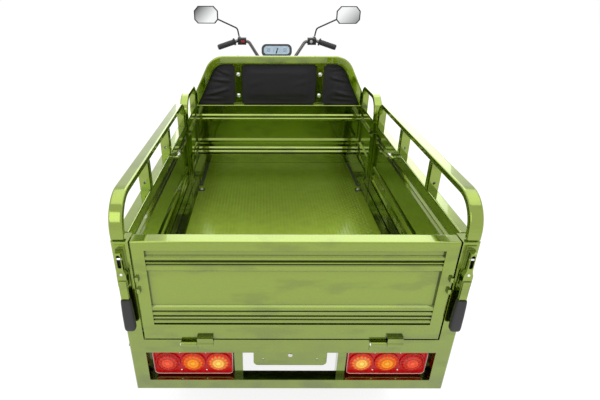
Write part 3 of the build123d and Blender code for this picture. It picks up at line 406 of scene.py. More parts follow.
@dataclass(frozen=True)
class Finish:
    """One surface finish, made as a material on first use.

    Attributes:
        name: Name of the material.
        slot: Material slot of the record that the finish belongs to; not used.
        color: Linear base colour.
        roughness: Base roughness.
        metallic: Metal share of the base.
        coat: Clear coat weight.
        coat_ior: Index of the clear coat.
        coat_roughness: Roughness of the clear coat.
        effect: Shared effect that patterns the surface.
        scale: Scale of that effect.
        bump: Height of that effect in metres.
        edge: Radius of the softened edges in metres.
        dust: Strength of the film near the road: a dusting on most finishes, painted shade on the green
            paint.
        dust_top: Height at which that film ends.
        dust_color: Linear colour of that film, dark olive on the green paint where it is painted shade.
        glow: Emission strength of the base colour.
        specular: Strength of the uncoated shine.
        lens: Rings of a lamp lens, if it is one.
    """

    name: str
    slot: str
    color: Color
    roughness: float = 0.5
    metallic: float = 0.0
    coat: float = 0.0
    coat_ior: float = 1.5
    coat_roughness: float = 0.04
    effect: Effect = Effect.NONE
    scale: float = 300.0
    bump: float = 0.0
    edge: float = 0.0015
    dust: float = 0.0
    dust_top: float = 0.6
    dust_color: Color = (0.42, 0.38, 0.31)
    glow: float = 0.0
    specular: float = 0.5
    lens: Lens | None = None

    def material(self) -> bpy.types.Material:
        """The material of this finish.

        Returns:
            The material, made on first use.
        """
        if self not in MATERIALS:
            MATERIALS[self] = self.build()
        return MATERIALS[self]

    def build(self) -> bpy.types.Material:
        """Makes the material's node tree.

        Returns:
            The new material.
        """
        material = bpy.data.materials.new(self.name)
        graph, color = cleared(material), (*self.color, 1.0)
        shader = graph.add("BsdfPrincipled", {
            "Base Color": color, "Roughness": self.roughness, "Metallic": self.metallic,
            "Coat Weight": self.coat, "Coat IOR": self.coat_ior, "Coat Roughness": self.coat_roughness,
            "Emission Color": color, "Emission Strength": self.glow, "Specular IOR Level": self.specular})
        graph.add("OutputMaterial", {"Surface": shader.outputs[0]})
        place = graph.add("TexCoord").outputs["Object"]
        normal, tint = self.shared(graph, "soft_edges", {"Radius": self.edge})["Normal"], None
        pattern = self.pattern(graph, place)
        if pattern is not None:
            tint = pattern["Color"]
            normal = graph.add("Bump", {"Strength": 1.0, "Distance": self.bump, "Height": pattern["Height"],
                                        "Normal": normal}).outputs["Normal"]
        # On the green paint this film is painted shade that darkens it towards the road; on other finishes it
        # is a dusting.
        if self.dust > 0:
            tint = self.shared(graph, "road_dust", {
                "Vector": place, "Color": tint or color, "DustAndShade": (*self.dust_color, 1.0), "Amount": self.dust,
                "Top": self.dust_top})["Color"]
        if tint:
            graph.put(tint, shader.inputs["Base Color"])
            if self.glow > 0:
                graph.put(tint, shader.inputs["Emission Color"])
        graph.put(normal, shader.inputs["Normal"])
        return material

    def shared(self, graph: Graph, name: str, inputs: dict) -> Sockets:
        """Places a shared group in a material.

        Args:
            graph: Graph of the material.
            name: Name of the group.
            inputs: Values or sockets for its inputs.

        Returns:
            The group node's outputs.
        """
        return graph.add("Group", inputs, node_tree=EFFECTS.group(name)).outputs

    def pattern(self, graph: Graph, place: Socket) -> Sockets | None:
        """Places the finish's patterned group in its material.

        Args:
            graph: Graph of the material.
            place: Texture coordinates.

        Returns:
            The group node's outputs, or None for a plain finish.
        """
        given = {"Vector": place, "Color": (*self.color, 1.0)}
        if self.lens:
            given |= {"Core": (*self.lens.core, 1.0), "Centre": self.lens.centre, "Radius": self.lens.radius}
            return self.shared(graph, "lens_facets", given)
        if self.effect is Effect.NONE:
            return None
        return self.shared(graph, self.effect.value, given | {"Scale": self.scale})


MATERIALS: dict[Finish, bpy.types.Material] = {}


def grained(name: str, slot: str, color: Color, roughness: float, scale: float, bump: float = 0.0,
            **more) -> Finish:
    """A finish with the fine grain of a moulded or cast skin.

    Args:
        name: Name of the material.
        slot: Material slot.
        color: Linear base colour.
        roughness: Base roughness.
        scale: Scale of the grain.
        bump: Height of the grain.
        more: Other fields of the finish.

    Returns:
        The finish.
    """
    return Finish(name, slot, color, roughness, effect=Effect.FINE, scale=scale, bump=bump, **more)


def lamp_lens(color_name: str, color: Color, glow: float) -> Finish:
    """The finish of a rear lamp lens, named after its colour."""
    # The lens's glow is painted light that brightens its colour.
    return Finish(color_name + "_lamp_lens", color_name + "_lens", color, 0.16, bump=0.0012, glow=glow,
                  edge=0.001, specular=0.3)


# The green paint's dark film near the road is painted shade, not dirt.
PAINT = Finish("green_metallic_paint", "body_paint", (0.222, 0.312, 0.006), 0.15, 1.0, 1.0, 1.75, 0.02,
               Effect.FLAKE_AND_PAINTED_SHADE, 900.0, 0.0016, 0.0025, dust=1.9, dust_top=0.75, dust_color=(0.10, 0.13, 0.03))
TREAD_PAINT = replace(PAINT, name="green_tread_paint", color=(0.28, 0.39, 0.03), roughness=0.4,
                      coat=0.5, coat_roughness=0.14, effect=Effect.FINE, scale=30.0, bump=0.0002, dust=0.0)
BLACK_PAINT = grained("black_chassis_paint", "chassis_paint", (0.018, 0.018, 0.019), 0.38, 220.0, 0.0001,
                      coat=0.3, dust=0.35)
CAST_IRON = grained("axle_iron", "axle_paint", (0.03, 0.03, 0.032), 0.55, 260.0, 0.0004, dust=0.45)
ALUMINIUM = grained("motor_alloy", "motor", (0.48, 0.49, 0.5), 0.42, 300.0, 0.0002, metallic=1.0, dust=0.3)
SPRING = grained("spring_enamel", "spring_steel", (0.022, 0.022, 0.022), 0.42, 150.0, 0.0001, dust=0.4)
ZINC = Finish("zinc_plate", "steel", (0.66, 0.65, 0.62), 0.28, 1.0, effect=Effect.BRUSHED, scale=500.0,
              bump=0.00003, edge=0.0006)
CHROME = replace(ZINC, name="bright_chrome", slot="chrome", color=(0.86, 0.86, 0.87), roughness=0.08,
                 scale=300.0, bump=0.00001)
BAR_STEEL = replace(CHROME, name="dark_steel_tube", color=(0.16, 0.155, 0.15), roughness=0.24, scale=400.0,
                    bump=0.00002, edge=0.001)
PLASTIC = grained("black_moulding", "black_plastic", (0.014, 0.014, 0.015), 0.42, 900.0, 0.00008, edge=0.002)
RUBBER = grained("black_rubber", "rubber", (0.026, 0.025, 0.028), 0.5, 700.0, 0.0001, edge=0.002)
TYRE = grained("tyre_rubber", "tyre", (0.016, 0.016, 0.016), 0.72, 400.0, 0.0002, edge=0.0008, dust=0.5,
               dust_top=0.5)
RIM = grained("silver_rim", "rim", (0.56, 0.57, 0.58), 0.3, 500.0, 0.00005, metallic=0.9, coat=0.6, dust=0.25)
LEATHER = Finish("black_leatherette", "leather", (0.020, 0.016, 0.025), 0.46, effect=Effect.LEATHER,
                 scale=420.0, bump=0.0004, edge=0.001, specular=0.4)
# The case's glow is painted light: the case is no lamp.
RED_PLASTIC = grained("red_lamp_case", "red_lens", (0.56, 0.004, 0.006), 0.2, 60.0, glow=0.15, edge=0.002,
                      specular=0.3)
RED_LENS = lamp_lens("red", (0.50, 0.004, 0.005), 0.3)
AMBER_LENS = lamp_lens("amber", (0.72, 0.045, 0.003), 0.4)
CLEAR_LENS = lamp_lens("clear", (0.70, 0.030, 0.006), 0.45)
# The indicator's glow is painted light.
INDICATOR = grained("indicator_lens", "amber_lens", (0.85, 0.2, 0.01), 0.16, 90.0, 0.0004, glow=0.15,
                    edge=0.002, specular=0.3)
HEAD_GLASS = Finish("head_lamp_glass", "lamp_glass", (0.62, 0.65, 0.68), 0.06, 0.6, 1.0,
                    effect=Effect.BRUSHED, scale=160.0, bump=0.0006, edge=0.003)
# The mirror's fade from dark to bright is a painted reflection.
MIRROR = Finish("mirror_silver", "mirror", (0.93, 0.94, 0.94), 0.04, 1.0, effect=Effect.PAINTED_REFLECTION, scale=1.403,
                edge=0.0006)
SCREEN = grained("dash_face", "screen", (0.36, 0.52, 0.64), 0.15, 40.0, coat=1.0, edge=0.001)
BATTERY = grained("battery_case", "battery", (0.05, 0.05, 0.055), 0.5, 500.0, 0.0001)
PALE_BUTTON = replace(PLASTIC, name="pale_button", color=(0.62, 0.62, 0.60))
RED_BUTTON = replace(PLASTIC, name="red_button", color=(0.55, 0.02, 0.02))
INK = replace(PLASTIC, name="dial_ink", color=(0.010, 0.010, 0.012))


def arc(start: tuple, middle: tuple, end: tuple, steps: int) -> list[tuple[float, float]]:
    """Points of the circle through three points of a plane, from the first to the last.

    Args:
        start: First point.
        middle: A point on the way.
        end: Last point.
        steps: Number of parts.

    Returns:
        The points, both ends among them.
    """
    (ax, ay), (bx, by), (cx, cy) = start, middle, end
    d = 2 * (ax * (by - cy) + bx * (cy - ay) + cx * (ay - by))
    a2, b2, c2 = ax * ax + ay * ay, bx * bx + by * by, cx * cx + cy * cy
    ux = (a2 * (by - cy) + b2 * (cy - ay) + c2 * (ay - by)) / d
    uy = (a2 * (cx - bx) + b2 * (ax - cx) + c2 * (bx - ax)) / d
    radius = math.hypot(ax - ux, ay - uy)
    first, mid, last = [math.atan2(y - uy, x - ux) for x, y in (start, middle, end)]
    turn = (last - first) % (2 * math.pi)
    if (mid - first) % (2 * math.pi) > turn:
        turn -= 2 * math.pi
    angles = [first + turn * i / steps for i in range(steps + 1)]
    return [(ux + radius * math.cos(a), uy + radius * math.sin(a)) for a in angles]


def rounded_rectangle(half_w: float, half_h: float, corner: float, steps: int = 6) -> Outline:
    """Points round a rectangle with round corners.

    Args:
        half_w: Half width.
        half_h: Half height.
        corner: Corner radius.
        steps: Parts of each corner.

    Returns:
        The points in order.
    """
    points = []
    for turn, (sx, sy) in enumerate(((1, 1), (-1, 1), (-1, -1), (1, -1))):
        for step in range(steps + 1):
            angle = math.radians(90 * turn + 90 * step / steps)
            points.append((sx * (half_w - corner) + corner * math.cos(angle),
                           sy * (half_h - corner) + corner * math.sin(angle)))
    return points


def round_angles(count: int) -> list[float]:
    """Angles at even steps round a circle."""
    return [2 * math.pi * step / count for step in range(count)]


def eased(value: float) -> float:
    """A value held between 0 and 1 with soft ends."""
    value = min(max(value, 0.0), 1.0)
    return value * value * (3 - 2 * value)


def mirrored(point: Point, side: int) -> Vector:
    """A point of the right side, or its mirror image on the left for a side of -1."""
    return Vector(point) * Vector((side, 1, 1))


def middle(node: str) -> Vector:
    """The middle of a node's box."""
    low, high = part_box(node)
    return (Vector(low) + Vector(high)) / 2


def place_object(name: str, data: bpy.types.ID) -> Obj:
    """A new object of some data in the scene.

    Args:
        name: Name of the object.
        data: Its mesh, light or camera.

    Returns:
        The object.
    """
    made = bpy.data.objects.new(name, data)
    bpy.context.scene.collection.objects.link(made)
    return made


def settle(piece: Obj, body: Body, finish: Finish, *nodes: str) -> Obj:
    """Gives a new object its finish and its body.

    Args:
        piece: The object, in place in the row frame.
        body: Body that it rides on.
        finish: Its finish.
        nodes: Frame nodes that it stands for.

    Returns:
        The object.
    """
    piece.data.materials.clear()
    piece.data.materials.append(finish.material())
    piece.data.shade_smooth()
    piece.data.set_sharp_from_angle(angle=SHARP_ANGLE)
    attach(piece, body.value)
    if nodes:
        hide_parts(*nodes)
    LOG.info("piece %s: %d faces on %s", piece.name, len(piece.data.polygons), body.value)
    return piece


class Piece:
    """One joined mesh of simple shapes that rides one body. Each shape's method returns the piece."""

    def __init__(self, name: str, body: Body, finish: Finish) -> None:
        """Opens an empty mesh.

        Args:
            name: Name of the piece.
            body: Body that it rides on.
            finish: Finish of all its faces.
        """
        self.name, self.body, self.finish = name, body, finish
        self.mesh = bmesh.new()

    def skin(self, rings: Sequence[Sequence[Vector]], closed: bool = False) -> "Piece":
        """Joins rings of points by faces.

        Args:
            rings: Rings with equal counts of points.
            closed: Whether the last ring joins the first, else both ends are capped.

        Returns:
            This piece.
        """
        loops = [[self.mesh.verts.new(point) for point in ring] for ring in rings]
        sides = len(loops[0])
        pairs = list(zip(loops, loops[1:]))
        if closed:
            gaps = [(loops[-1][0].co - loops[0][turn].co).length for turn in range(sides)]
            turn = gaps.index(min(gaps))
            pairs.append((loops[-1], loops[0][turn:] + loops[0][:turn]))
        for a, b in pairs:
            for side in range(sides):
                other = (side + 1) % sides
                self.mesh.faces.new((a[side], a[other], b[other], b[side]))
        if not closed:
            self.mesh.faces.new(tuple(reversed(loops[0])))
            self.mesh.faces.new(tuple(loops[-1]))
        return self

    def turning(self, at: Point, axis: Point, outline: Outline, segments: int = 24,
                closed: bool = False) -> "Piece":
        """Adds a turned shape.

        Args:
            at: Foot of its axis.
            axis: Direction of its axis.
            outline: Radius and height pairs from the foot to the tip.
            segments: Sides.
            closed: Whether the outline returns to its start, as round a bore, else both ends are capped.

        Returns:
            This piece.
        """
        turn = Vector(axis).to_track_quat("Z", "Y").to_matrix().to_4x4()
        place, angles = Matrix.Translation(Vector(at)) @ turn, round_angles(segments)
        return self.skin([[place @ Vector((r * math.cos(a), r * math.sin(a), h)) for a in angles]
                          for r, h in outline], closed)

    def bolt(self, at: Point, axis: Point, radius: float) -> "Piece":
        """Adds a washer and a hexagon head.

        Args:
            at: Foot of its axis.
            axis: Direction of its axis.
            radius: Radius of the head over its corners.

        Returns:
            This piece.
        """
        r = radius
        self.turning(at, axis, ((1.35 * r, 0), (1.35 * r, 0.2 * r), (1.25 * r, 0.25 * r)))
        return self.turning(at, axis, ((r, 0.2 * r), (r, 0.8 * r), (0.82 * r, r)), 6)

    def nut(self, at: Point, axis: Point, radius: float, length: float) -> "Piece":
        """Adds a hexagon nut with broken edges."""
        return self.turning(at, axis, ((0.85 * radius, 0), (radius, 0.12 * length), (radius, 0.88 * length),
                                       (0.85 * radius, length)), 6)

    def dome(self, at: Point, axis: Point, radius: float, height: float) -> "Piece":
        """Adds a round stud head."""
        angles = [math.radians(a) for a in (0, 18, 36, 54, 72, 86)]
        return self.turning(at, axis, [(radius * math.cos(a), height * math.sin(a)) for a in angles], 20)

    def slab(self, at: Point, across: Vector, along: Vector, size: Point, depth: float,
             bevel: float) -> "Piece":
        """Adds a plate with round corners and a bevelled face.

        Args:
            at: Middle of its foot.
            across: Direction of its width.
            along: Direction of its height.
            size: Half width, half height and corner radius.
            depth: Thickness, on the side that across and along turn to.
            bevel: Width of the bevel round its face.

        Returns:
            This piece.
        """
        half_w, half_h, corner = size
        normal = across.cross(along)
        rings = []
        for inset, rise in ((0, 0), (0, depth - bevel), (bevel, depth)):
            edge = rounded_rectangle(half_w - inset, half_h - inset, max(corner - inset, corner * 0.4))
            rings.append([Vector(at) + across * x + along * y + normal * rise for x, y in edge])
        return self.skin(rings)

    def tube(self, points: Sequence[Point], radius: float, closed: bool = False, sides: int = 10) -> "Piece":
        """Adds a round tube along points.

        Args:
            points: Centreline.
            radius: Tube radius.
            closed: Whether the line returns to its start.
            sides: Sides of the section.

        Returns:
            This piece.
        """
        line = [Vector(p) for p in points]
        count, rings, normal = len(line), [], None
        for index, point in enumerate(line):
            before = line[index - 1] if closed or index else point
            after = line[(index + 1) % count] if closed or index < count - 1 else point
            along = (after - before).normalized()
            normal = along.orthogonal() if normal is None else normal - along * normal.dot(along)
            normal.normalize()
            other = along.cross(normal)
            rings.append([point + radius * (math.cos(a) * normal + math.sin(a) * other)
                          for a in round_angles(sides)])
        return self.skin(rings, closed)

    def ring(self, at: Point, axis: Point, radius: float, thick: float, steps: int = 40) -> "Piece":
        """Adds a round ring of a tube."""
        outline = [(radius + thick * math.cos(a), thick * math.sin(a)) for a in round_angles(8)]
        return self.turning(at, axis, outline, steps, True)

    def done(self, *nodes: str) -> Obj:
        """Makes the object and lets it ride its body.

        Args:
            nodes: Frame nodes that it stands for.

        Returns:
            The object.
        """
        data = bpy.data.meshes.new(self.name)
        bmesh.ops.recalc_face_normals(self.mesh, faces=self.mesh.faces)
        self.mesh.to_mesh(data)
        self.mesh.free()
        return settle(place_object(self.name, data), self.body, self.finish, *nodes)


@dataclass
class Assembly:
    """A group of frame nodes that get their finishes and some added pieces.

    Attributes:
    """

    SKINS: ClassVar[dict[Finish, tuple[str, ...]]] = {}
    frame: dict

    def build(self) -> None:
        """Dresses the nodes and adds the pieces."""
        for finish, nodes in self.SKINS.items():
            self.dress(finish, *nodes)
        self.fit_out()

    def dress(self, finish: Finish, *nodes: str) -> None:
        """Gives frame nodes a finish.

        Args:
            finish: Their finish.
            nodes: Names of the nodes.
        """
        for name in nodes:
            node = self.frame["nodes"][name]
            node.data.materials.clear()
            node.data.materials.append(finish.material())
            LOG.info("node %s: %s", name, finish.name)

    def fit_out(self) -> None:
        """Adds the pieces that the frame does not have."""
        raise NotImplementedError


@dataclass
class SoftPad:
    """A stuffed piece, swollen by cloth simulation in the space of a frame solid.

    Attributes:
        name: Name of the piece.
        node: Frame node whose space it fills.
        body: Body that it rides on.
        fill: How tight it is stuffed, from 0 to 1; not used.
        inset: How far the skin is drawn in before it swells.
        cap: Furthest that a point of the skin may move.
        fit: Axis numbers to how far the pad stands out of the solid's box at both ends of that axis.
        pressure: Pressure inside.
        voxel: Size of the skin's mesh.
        frames: Steps of the simulation.
        piping: Radius of the piping.
    """

    frame: dict
    name: str
    node: str
    body: Body
    fill: float
    inset: float
    cap: float
    fit: dict[int, float]
    pressure: float = 4.0
    voxel: float = 0.006
    frames: int = 20
    piping: float = 0.0045

    def build(self, limit: Callable[[Vector], Vector], relief: Callable[[Vector, Vector], float]) -> Obj:
        """Makes the pad.

        Args:
            limit: Moves a point of the skin off its neighbours.
            relief: Height of seams and folds at a point with a normal.

        Returns:
            The pad's object.
        """
        piece = self.skin()
        self.swell(piece)
        self.stretch(piece)
        vertices = piece.data.vertices
        moves = [vertex.normal * relief(vertex.co, vertex.normal) for vertex in vertices]
        for vertex, move in zip(vertices, moves):
            vertex.co = limit(vertex.co) + move
        settle(piece, self.body, LEATHER, self.node)
        fine = piece.modifiers.new("fine", "SUBSURF")
        fine.levels = fine.render_levels = 1
        return piece

    def skin(self) -> Obj:
        """An even skin a little inside the frame node's surface.

        Returns:
            The skin's object.
        """
        piece = place_object(self.name, self.frame["nodes"][self.node].data.copy())
        remesh = piece.modifiers.new("skin", "REMESH")
        remesh.mode, remesh.voxel_size = "VOXEL", self.voxel
        smooth = piece.modifiers.new("smooth", "SMOOTH")
        smooth.factor, smooth.iterations = 0.5, 6
        self.bake(piece)
        moves = [vertex.normal * -self.inset for vertex in piece.data.vertices]
        for vertex, move in zip(piece.data.vertices, moves):
            vertex.co += move
        return piece

    def swell(self, piece: Obj) -> None:
        """Blows the skin up and keeps each point within reach of its start.

        Args:
            piece: The pad.
        """
        start = [vertex.co.copy() for vertex in piece.data.vertices]
        cloth = piece.modifiers.new("swell", "CLOTH")
        cloth.settings.use_pressure = True
        cloth.settings.uniform_pressure_force = self.pressure
        cloth.settings.effector_weights.gravity = 0.0
        cloth.point_cache.frame_end = self.frames
        for step in range(1, self.frames + 1):
            bpy.context.scene.frame_set(step)
        self.bake(piece)
        bpy.context.scene.frame_set(1)
        for vertex, origin in zip(piece.data.vertices, start):
            move = vertex.co - origin
            if move.length > self.cap:
                vertex.co = origin + move * (self.cap / move.length)

    def stretch(self, piece: Obj) -> None:
        """Brings the pad's ends to the solid's box along the axes to fit.

        Args:
            piece: The pad.
        """
        low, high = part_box(self.node)
        for axis, extra in self.fit.items():
            reach = [vertex.co[axis] for vertex in piece.data.vertices]
            start, scale = min(reach), (high[axis] - low[axis] + 2 * extra) / (max(reach) - min(reach))
            for vertex in piece.data.vertices:
                vertex.co[axis] = low[axis] - extra + (vertex.co[axis] - start) * scale
        piece.data.update()

    def bake(self, piece: Obj) -> None:
        """Puts what the modifiers give into the mesh and takes them off.

        Args:
            piece: The pad.
        """
        graph = bpy.context.evaluated_depsgraph_get()
        mesh = bpy.data.meshes.new_from_object(piece.evaluated_get(graph))
        piece.modifiers.clear()
        piece.data = mesh
        mesh.update()

    def pipe(self, name: str, piece: Obj, centre: Vector, along: Vector, count: int) -> None:
        """Adds piping where a plane through the pad's middle meets its skin.

        Args:
            name: Name of the piping.
            piece: The pad.
            centre: A point of the plane inside the pad.
            along: Direction of the plane beside the vehicle's right.
            count: Number of points at even steps round the pad.
        """
        mesh = piece.data
        tree = BVHTree.FromPolygons([v.co for v in mesh.vertices], [p.vertices for p in mesh.polygons])
        ways = [RIGHT * math.cos(a) + along * math.sin(a) for a in round_angles(6 * count)]
        hits = [tree.ray_cast(centre + way * 2.0, -way)[0] for way in ways]
        found = [hit for hit in hits if hit]
        steps = [(b - a).length for a, b in zip(found, found[1:] + found[:1])]
        pitch, walked, points = sum(steps) / count, 0.0, []
        for point, step in zip(found, steps):
            if walked >= pitch * len(points) and len(points) < count:
                points.append(point)
            walked += step
        Piece(name, self.body, LEATHER).tube(points, self.piping, True, 8).done()


@dataclass
class LoadBox(Assembly):
    """The cargo box with its gates, rails and tread plate.

    Attributes:
        tread_pitch: Distance between tread bumps.
        tread_margin: Plain strip along the floor's edges.
        tread: Length, width and height of a bump.
        bolt: Radius of the fastening bolts.
        side_bolt: Distance from the back and height of the corner posts' bolts.
        foot: Half width and half length of a post's bracket, and its thickness.
        strip: Half width of the strip before a post and its gap at the ends.
        hinge_x: Distance of the tailgate's hinges from the middle.
        knuckle: Length and radius of a hinge knuckle.
        sleeve_half: Half width of a latch sleeve.
        pin: Radius and length of a latch pin.
        pin_at: Distance of a pin from the latch's back and from its top.
        rivet_at: Distance of a latch's rivet from the latch's back and from its pin.
        slot: Half width, half height and corner radius of a latch's slot.
        slot_at: Distance of the slot's middle before the pin and below it.
        tie_rod: Radius of a tie loop's rod.
        tie_at: Distance of a tie from the rail's rear end and from the wall's top.
    """

    SKINS = {PAINT: ("box_frame", "rear_frame", "front_wall", "front_side_right", "front_side_left",
                     "mid_posts", "gate_hinges", "plate_bracket", "tailgate_latches", "tailgate",
                     "side_gate_right", "side_gate_left", "side_rail_right", "side_rail_left"),
             TREAD_PAINT: ("box_floor",)}
    BUMP_FACES = ((0, 1, 6), (1, 2, 7, 6), (2, 3, 7), (3, 4, 7), (4, 5, 6, 7), (5, 0, 6), (5, 4, 3, 2, 1, 0))
    SLEEVE = ((0, 0.62), (0.015, 0.82), (0.05, 0.95), (0.12, 1.0), (0.5, 0.97), (0.8, 0.90), (0.96, 0.84),
              (1, 0.76))
    TIE = ((0.0052, 0), (0.0076, 0), (0.0076, 0.003), (0.0064, 0.004), (0.0064, 0.024), (0.0076, 0.025),
           (0.0076, 0.028), (0.0052, 0.028))
    tread_pitch: float = 0.016
    tread_margin: float = 0.016
    tread: tuple[float, float, float] = (0.0125, 0.0042, 0.0009)
    bolt: float = 0.007
    side_bolt: tuple[float, float] = (0.026, 0.540)
    foot: tuple[float, float, float] = (0.016, 0.015, 0.004)
    strip: tuple[float, float] = (0.008, 0.004)
    hinge_x: float = 0.300
    knuckle: tuple[float, float] = (0.050, 0.008)
    sleeve_half: float = 0.017
    pin: tuple[float, float] = (0.0045, 0.017)
    pin_at: tuple[float, float] = (0.009, 0.034)
    rivet_at: tuple[float, float] = (0.0032, 0.052)
    slot: tuple[float, float, float] = (0.0050, 0.020, 0.0048)
    slot_at: tuple[float, float] = (0.0072, 0.008)
    tie_rod: float = 0.005
    tie_at: tuple[float, float] = (0.706, 0.020)

    def fit_out(self) -> None:
        """Adds the tread, the fastenings and the latches' small parts."""
        self.tread_plate()
        self.fastenings()
        self.post_feet()
        self.latches()
        self.hinge_pins()
        self.tie_sleeve(1, Body.GATE_RIGHT, "side_gate_right")
        self.tie_sleeve(-1, Body.GATE_LEFT, "side_gate_left")

    def tread_plate(self) -> None:
        """Raised lens-shaped bumps in two directions on the floor."""
        low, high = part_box("box_floor")
        piece = Piece("floor_tread", Body.CHASSIS, TREAD_PAINT)
        columns, rows = [int((high[a] - low[a] - 2 * self.tread_margin) / self.tread_pitch) for a in (0, 1)]
        for row in range(rows):
            for column in range(columns):
                at = Vector((low[0] + self.tread_margin + (column + 0.5) * self.tread_pitch,
                             low[1] + self.tread_margin + (row + 0.5) * self.tread_pitch, high[2]))
                self.bump(piece, at, math.radians(45 if (row + column) % 2 else -45))
        piece.done()

    def bump(self, piece: Piece, at: Vector, turn: float) -> None:
        """Adds one pointed bump to the tread.

        Args:
            piece: Mesh to add to.
            at: Middle of its foot.
            turn: Angle of its long axis.
        """
        length, width, top = self.tread
        half, side, ridge = length / 2, width / 2, length / 5
        spots = ((half, 0, 0), (ridge, side, 0), (-ridge, side, 0), (-half, 0, 0), (-ridge, -side, 0),
                 (ridge, -side, 0), (ridge, 0, top), (-ridge, 0, top))
        spin = Matrix.Rotation(turn, 3, "Z")
        points = [piece.mesh.verts.new(at + spin @ Vector(spot)) for spot in spots]
        for face in self.BUMP_FACES:
            piece.mesh.faces.new([points[index] for index in face])

    def fastenings(self) -> None:
        """Bolts on the plate bracket and the corner posts."""
        bolts = Piece("box_bolts", Body.CHASSIS, ZINC)
        low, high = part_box("plate_bracket")
        bolts.dome((0, low[1], (low[2] + high[2]) / 2 + 0.006), BACK, self.bolt * 1.25, self.bolt * 0.6)
        bolts.done()
        dark = Piece("side_bolts", Body.CHASSIS, BLACK_PAINT)
        low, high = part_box("rear_frame")
        inset, z = self.side_bolt
        for side in SIDES:
            dark.bolt((side * high[0], low[1] + inset, z), RIGHT * side, self.bolt * 1.2)
        dark.done()

    def post_feet(self) -> None:
        """Black brackets with bright bolts behind the middle posts' feet, and black strips before them."""
        low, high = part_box("mid_posts")
        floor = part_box("box_floor")[1]
        plates = Piece("post_brackets", Body.CHASSIS, BLACK_PAINT)
        bolts = Piece("post_bolts", Body.CHASSIS, ZINC)
        (reach, wide, thick), (strip, gap) = self.foot, self.strip
        run = (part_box("front_wall")[0][1] - high[1]) / 2 - gap
        bevel = 0.0012
        for side in SIDES:
            at = Vector((side * (floor[0] - reach), low[1] - wide, floor[2]))
            plates.slab(at, RIGHT, AHEAD, (reach, wide, 0.004), thick, bevel)
            bolts.bolt(at + UP * thick, UP, self.bolt)
            at = Vector((side * (floor[0] - strip), high[1] + run, floor[2]))
            plates.slab(at, RIGHT, AHEAD, (strip, run, 0.003), thick, bevel)
        plates.done()
        bolts.done()

    def latches(self) -> None:
        """The latches' rubber sleeves, bright pins and black plates on the slot floors that are painted
        shade.
        """
        low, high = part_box("tailgate_latches")
        grip_low, grip_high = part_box("latch_grips")
        half_w, depth = self.sleeve_half, (grip_high[1] - grip_low[1]) / 2
        x, y, length = grip_high[0] - half_w, (grip_low[1] + grip_high[1]) / 2, grip_high[2] - grip_low[2]
        sleeves = Piece("latch_sleeves", Body.CHASSIS, RUBBER)
        pins = Piece("latch_pins", Body.CHASSIS, CHROME)
        slot_shades = Piece("latch_slot_shades", Body.CHASSIS, PLASTIC)
        pin_y, pin_z = low[1] + self.pin_at[0], high[2] - self.pin_at[1]
        pin_r, pin_length = self.pin
        for side in SIDES:
            rings = []
            for share, scale in self.SLEEVE:
                edge = rounded_rectangle(half_w * scale, depth * (0.3 + 0.7 * scale), 0.008 * scale)
                rings.append([Vector((side * x + u, y + v, grip_low[2] + share * length)) for u, v in edge])
            sleeves.skin(rings)
            pins.turning((side * x - pin_length / 2, pin_y, pin_z), RIGHT, ((pin_r, 0), (pin_r, pin_length)))
            pins.dome((side * x, low[1] + self.rivet_at[0], pin_z - self.rivet_at[1]), BACK, pin_r, 0.003)
            # A black plate at each slot's floor is painted shade that darkens the slot.
            at = (side * x, pin_y + self.slot_at[0], pin_z - self.slot_at[1])
            slot_shades.slab(at, RIGHT, UP, self.slot, 0.0012, 0.0002)
        sleeves.done("latch_grips")
        pins.done()
        slot_shades.done()

    def hinge_pins(self) -> None:
        """Bright pin heads at the ends of the tailgate's hinges."""
        length, radius = self.knuckle
        low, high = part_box("gate_hinges")
        piece = Piece("hinge_pin_heads", Body.CHASSIS, CHROME)
        for side in SIDES:
            at = (side * self.hinge_x - length, low[1] + radius, high[2] - radius)
            piece.dome(at, -RIGHT, radius * 0.8, radius * 0.5)
        piece.done()

    def tie_sleeve(self, side: int, body: Body, node: str) -> None:
        """A bright sleeve with rims on a drop side's tie loop.

        Args:
            side: 1 for the right gate, -1 for the left.
            body: The gate's body.
            node: The gate's node.
        """
        low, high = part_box(node)
        x = low[0] + self.tie_rod if side > 0 else high[0] - self.tie_rod
        along, below = self.tie_at
        at = (x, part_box("side_rail_right")[0][1] + along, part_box("front_wall")[1][2] - below)
        Piece(node + "_tie", body, ZINC).turning(at, AHEAD, self.TIE, 20, True).done()


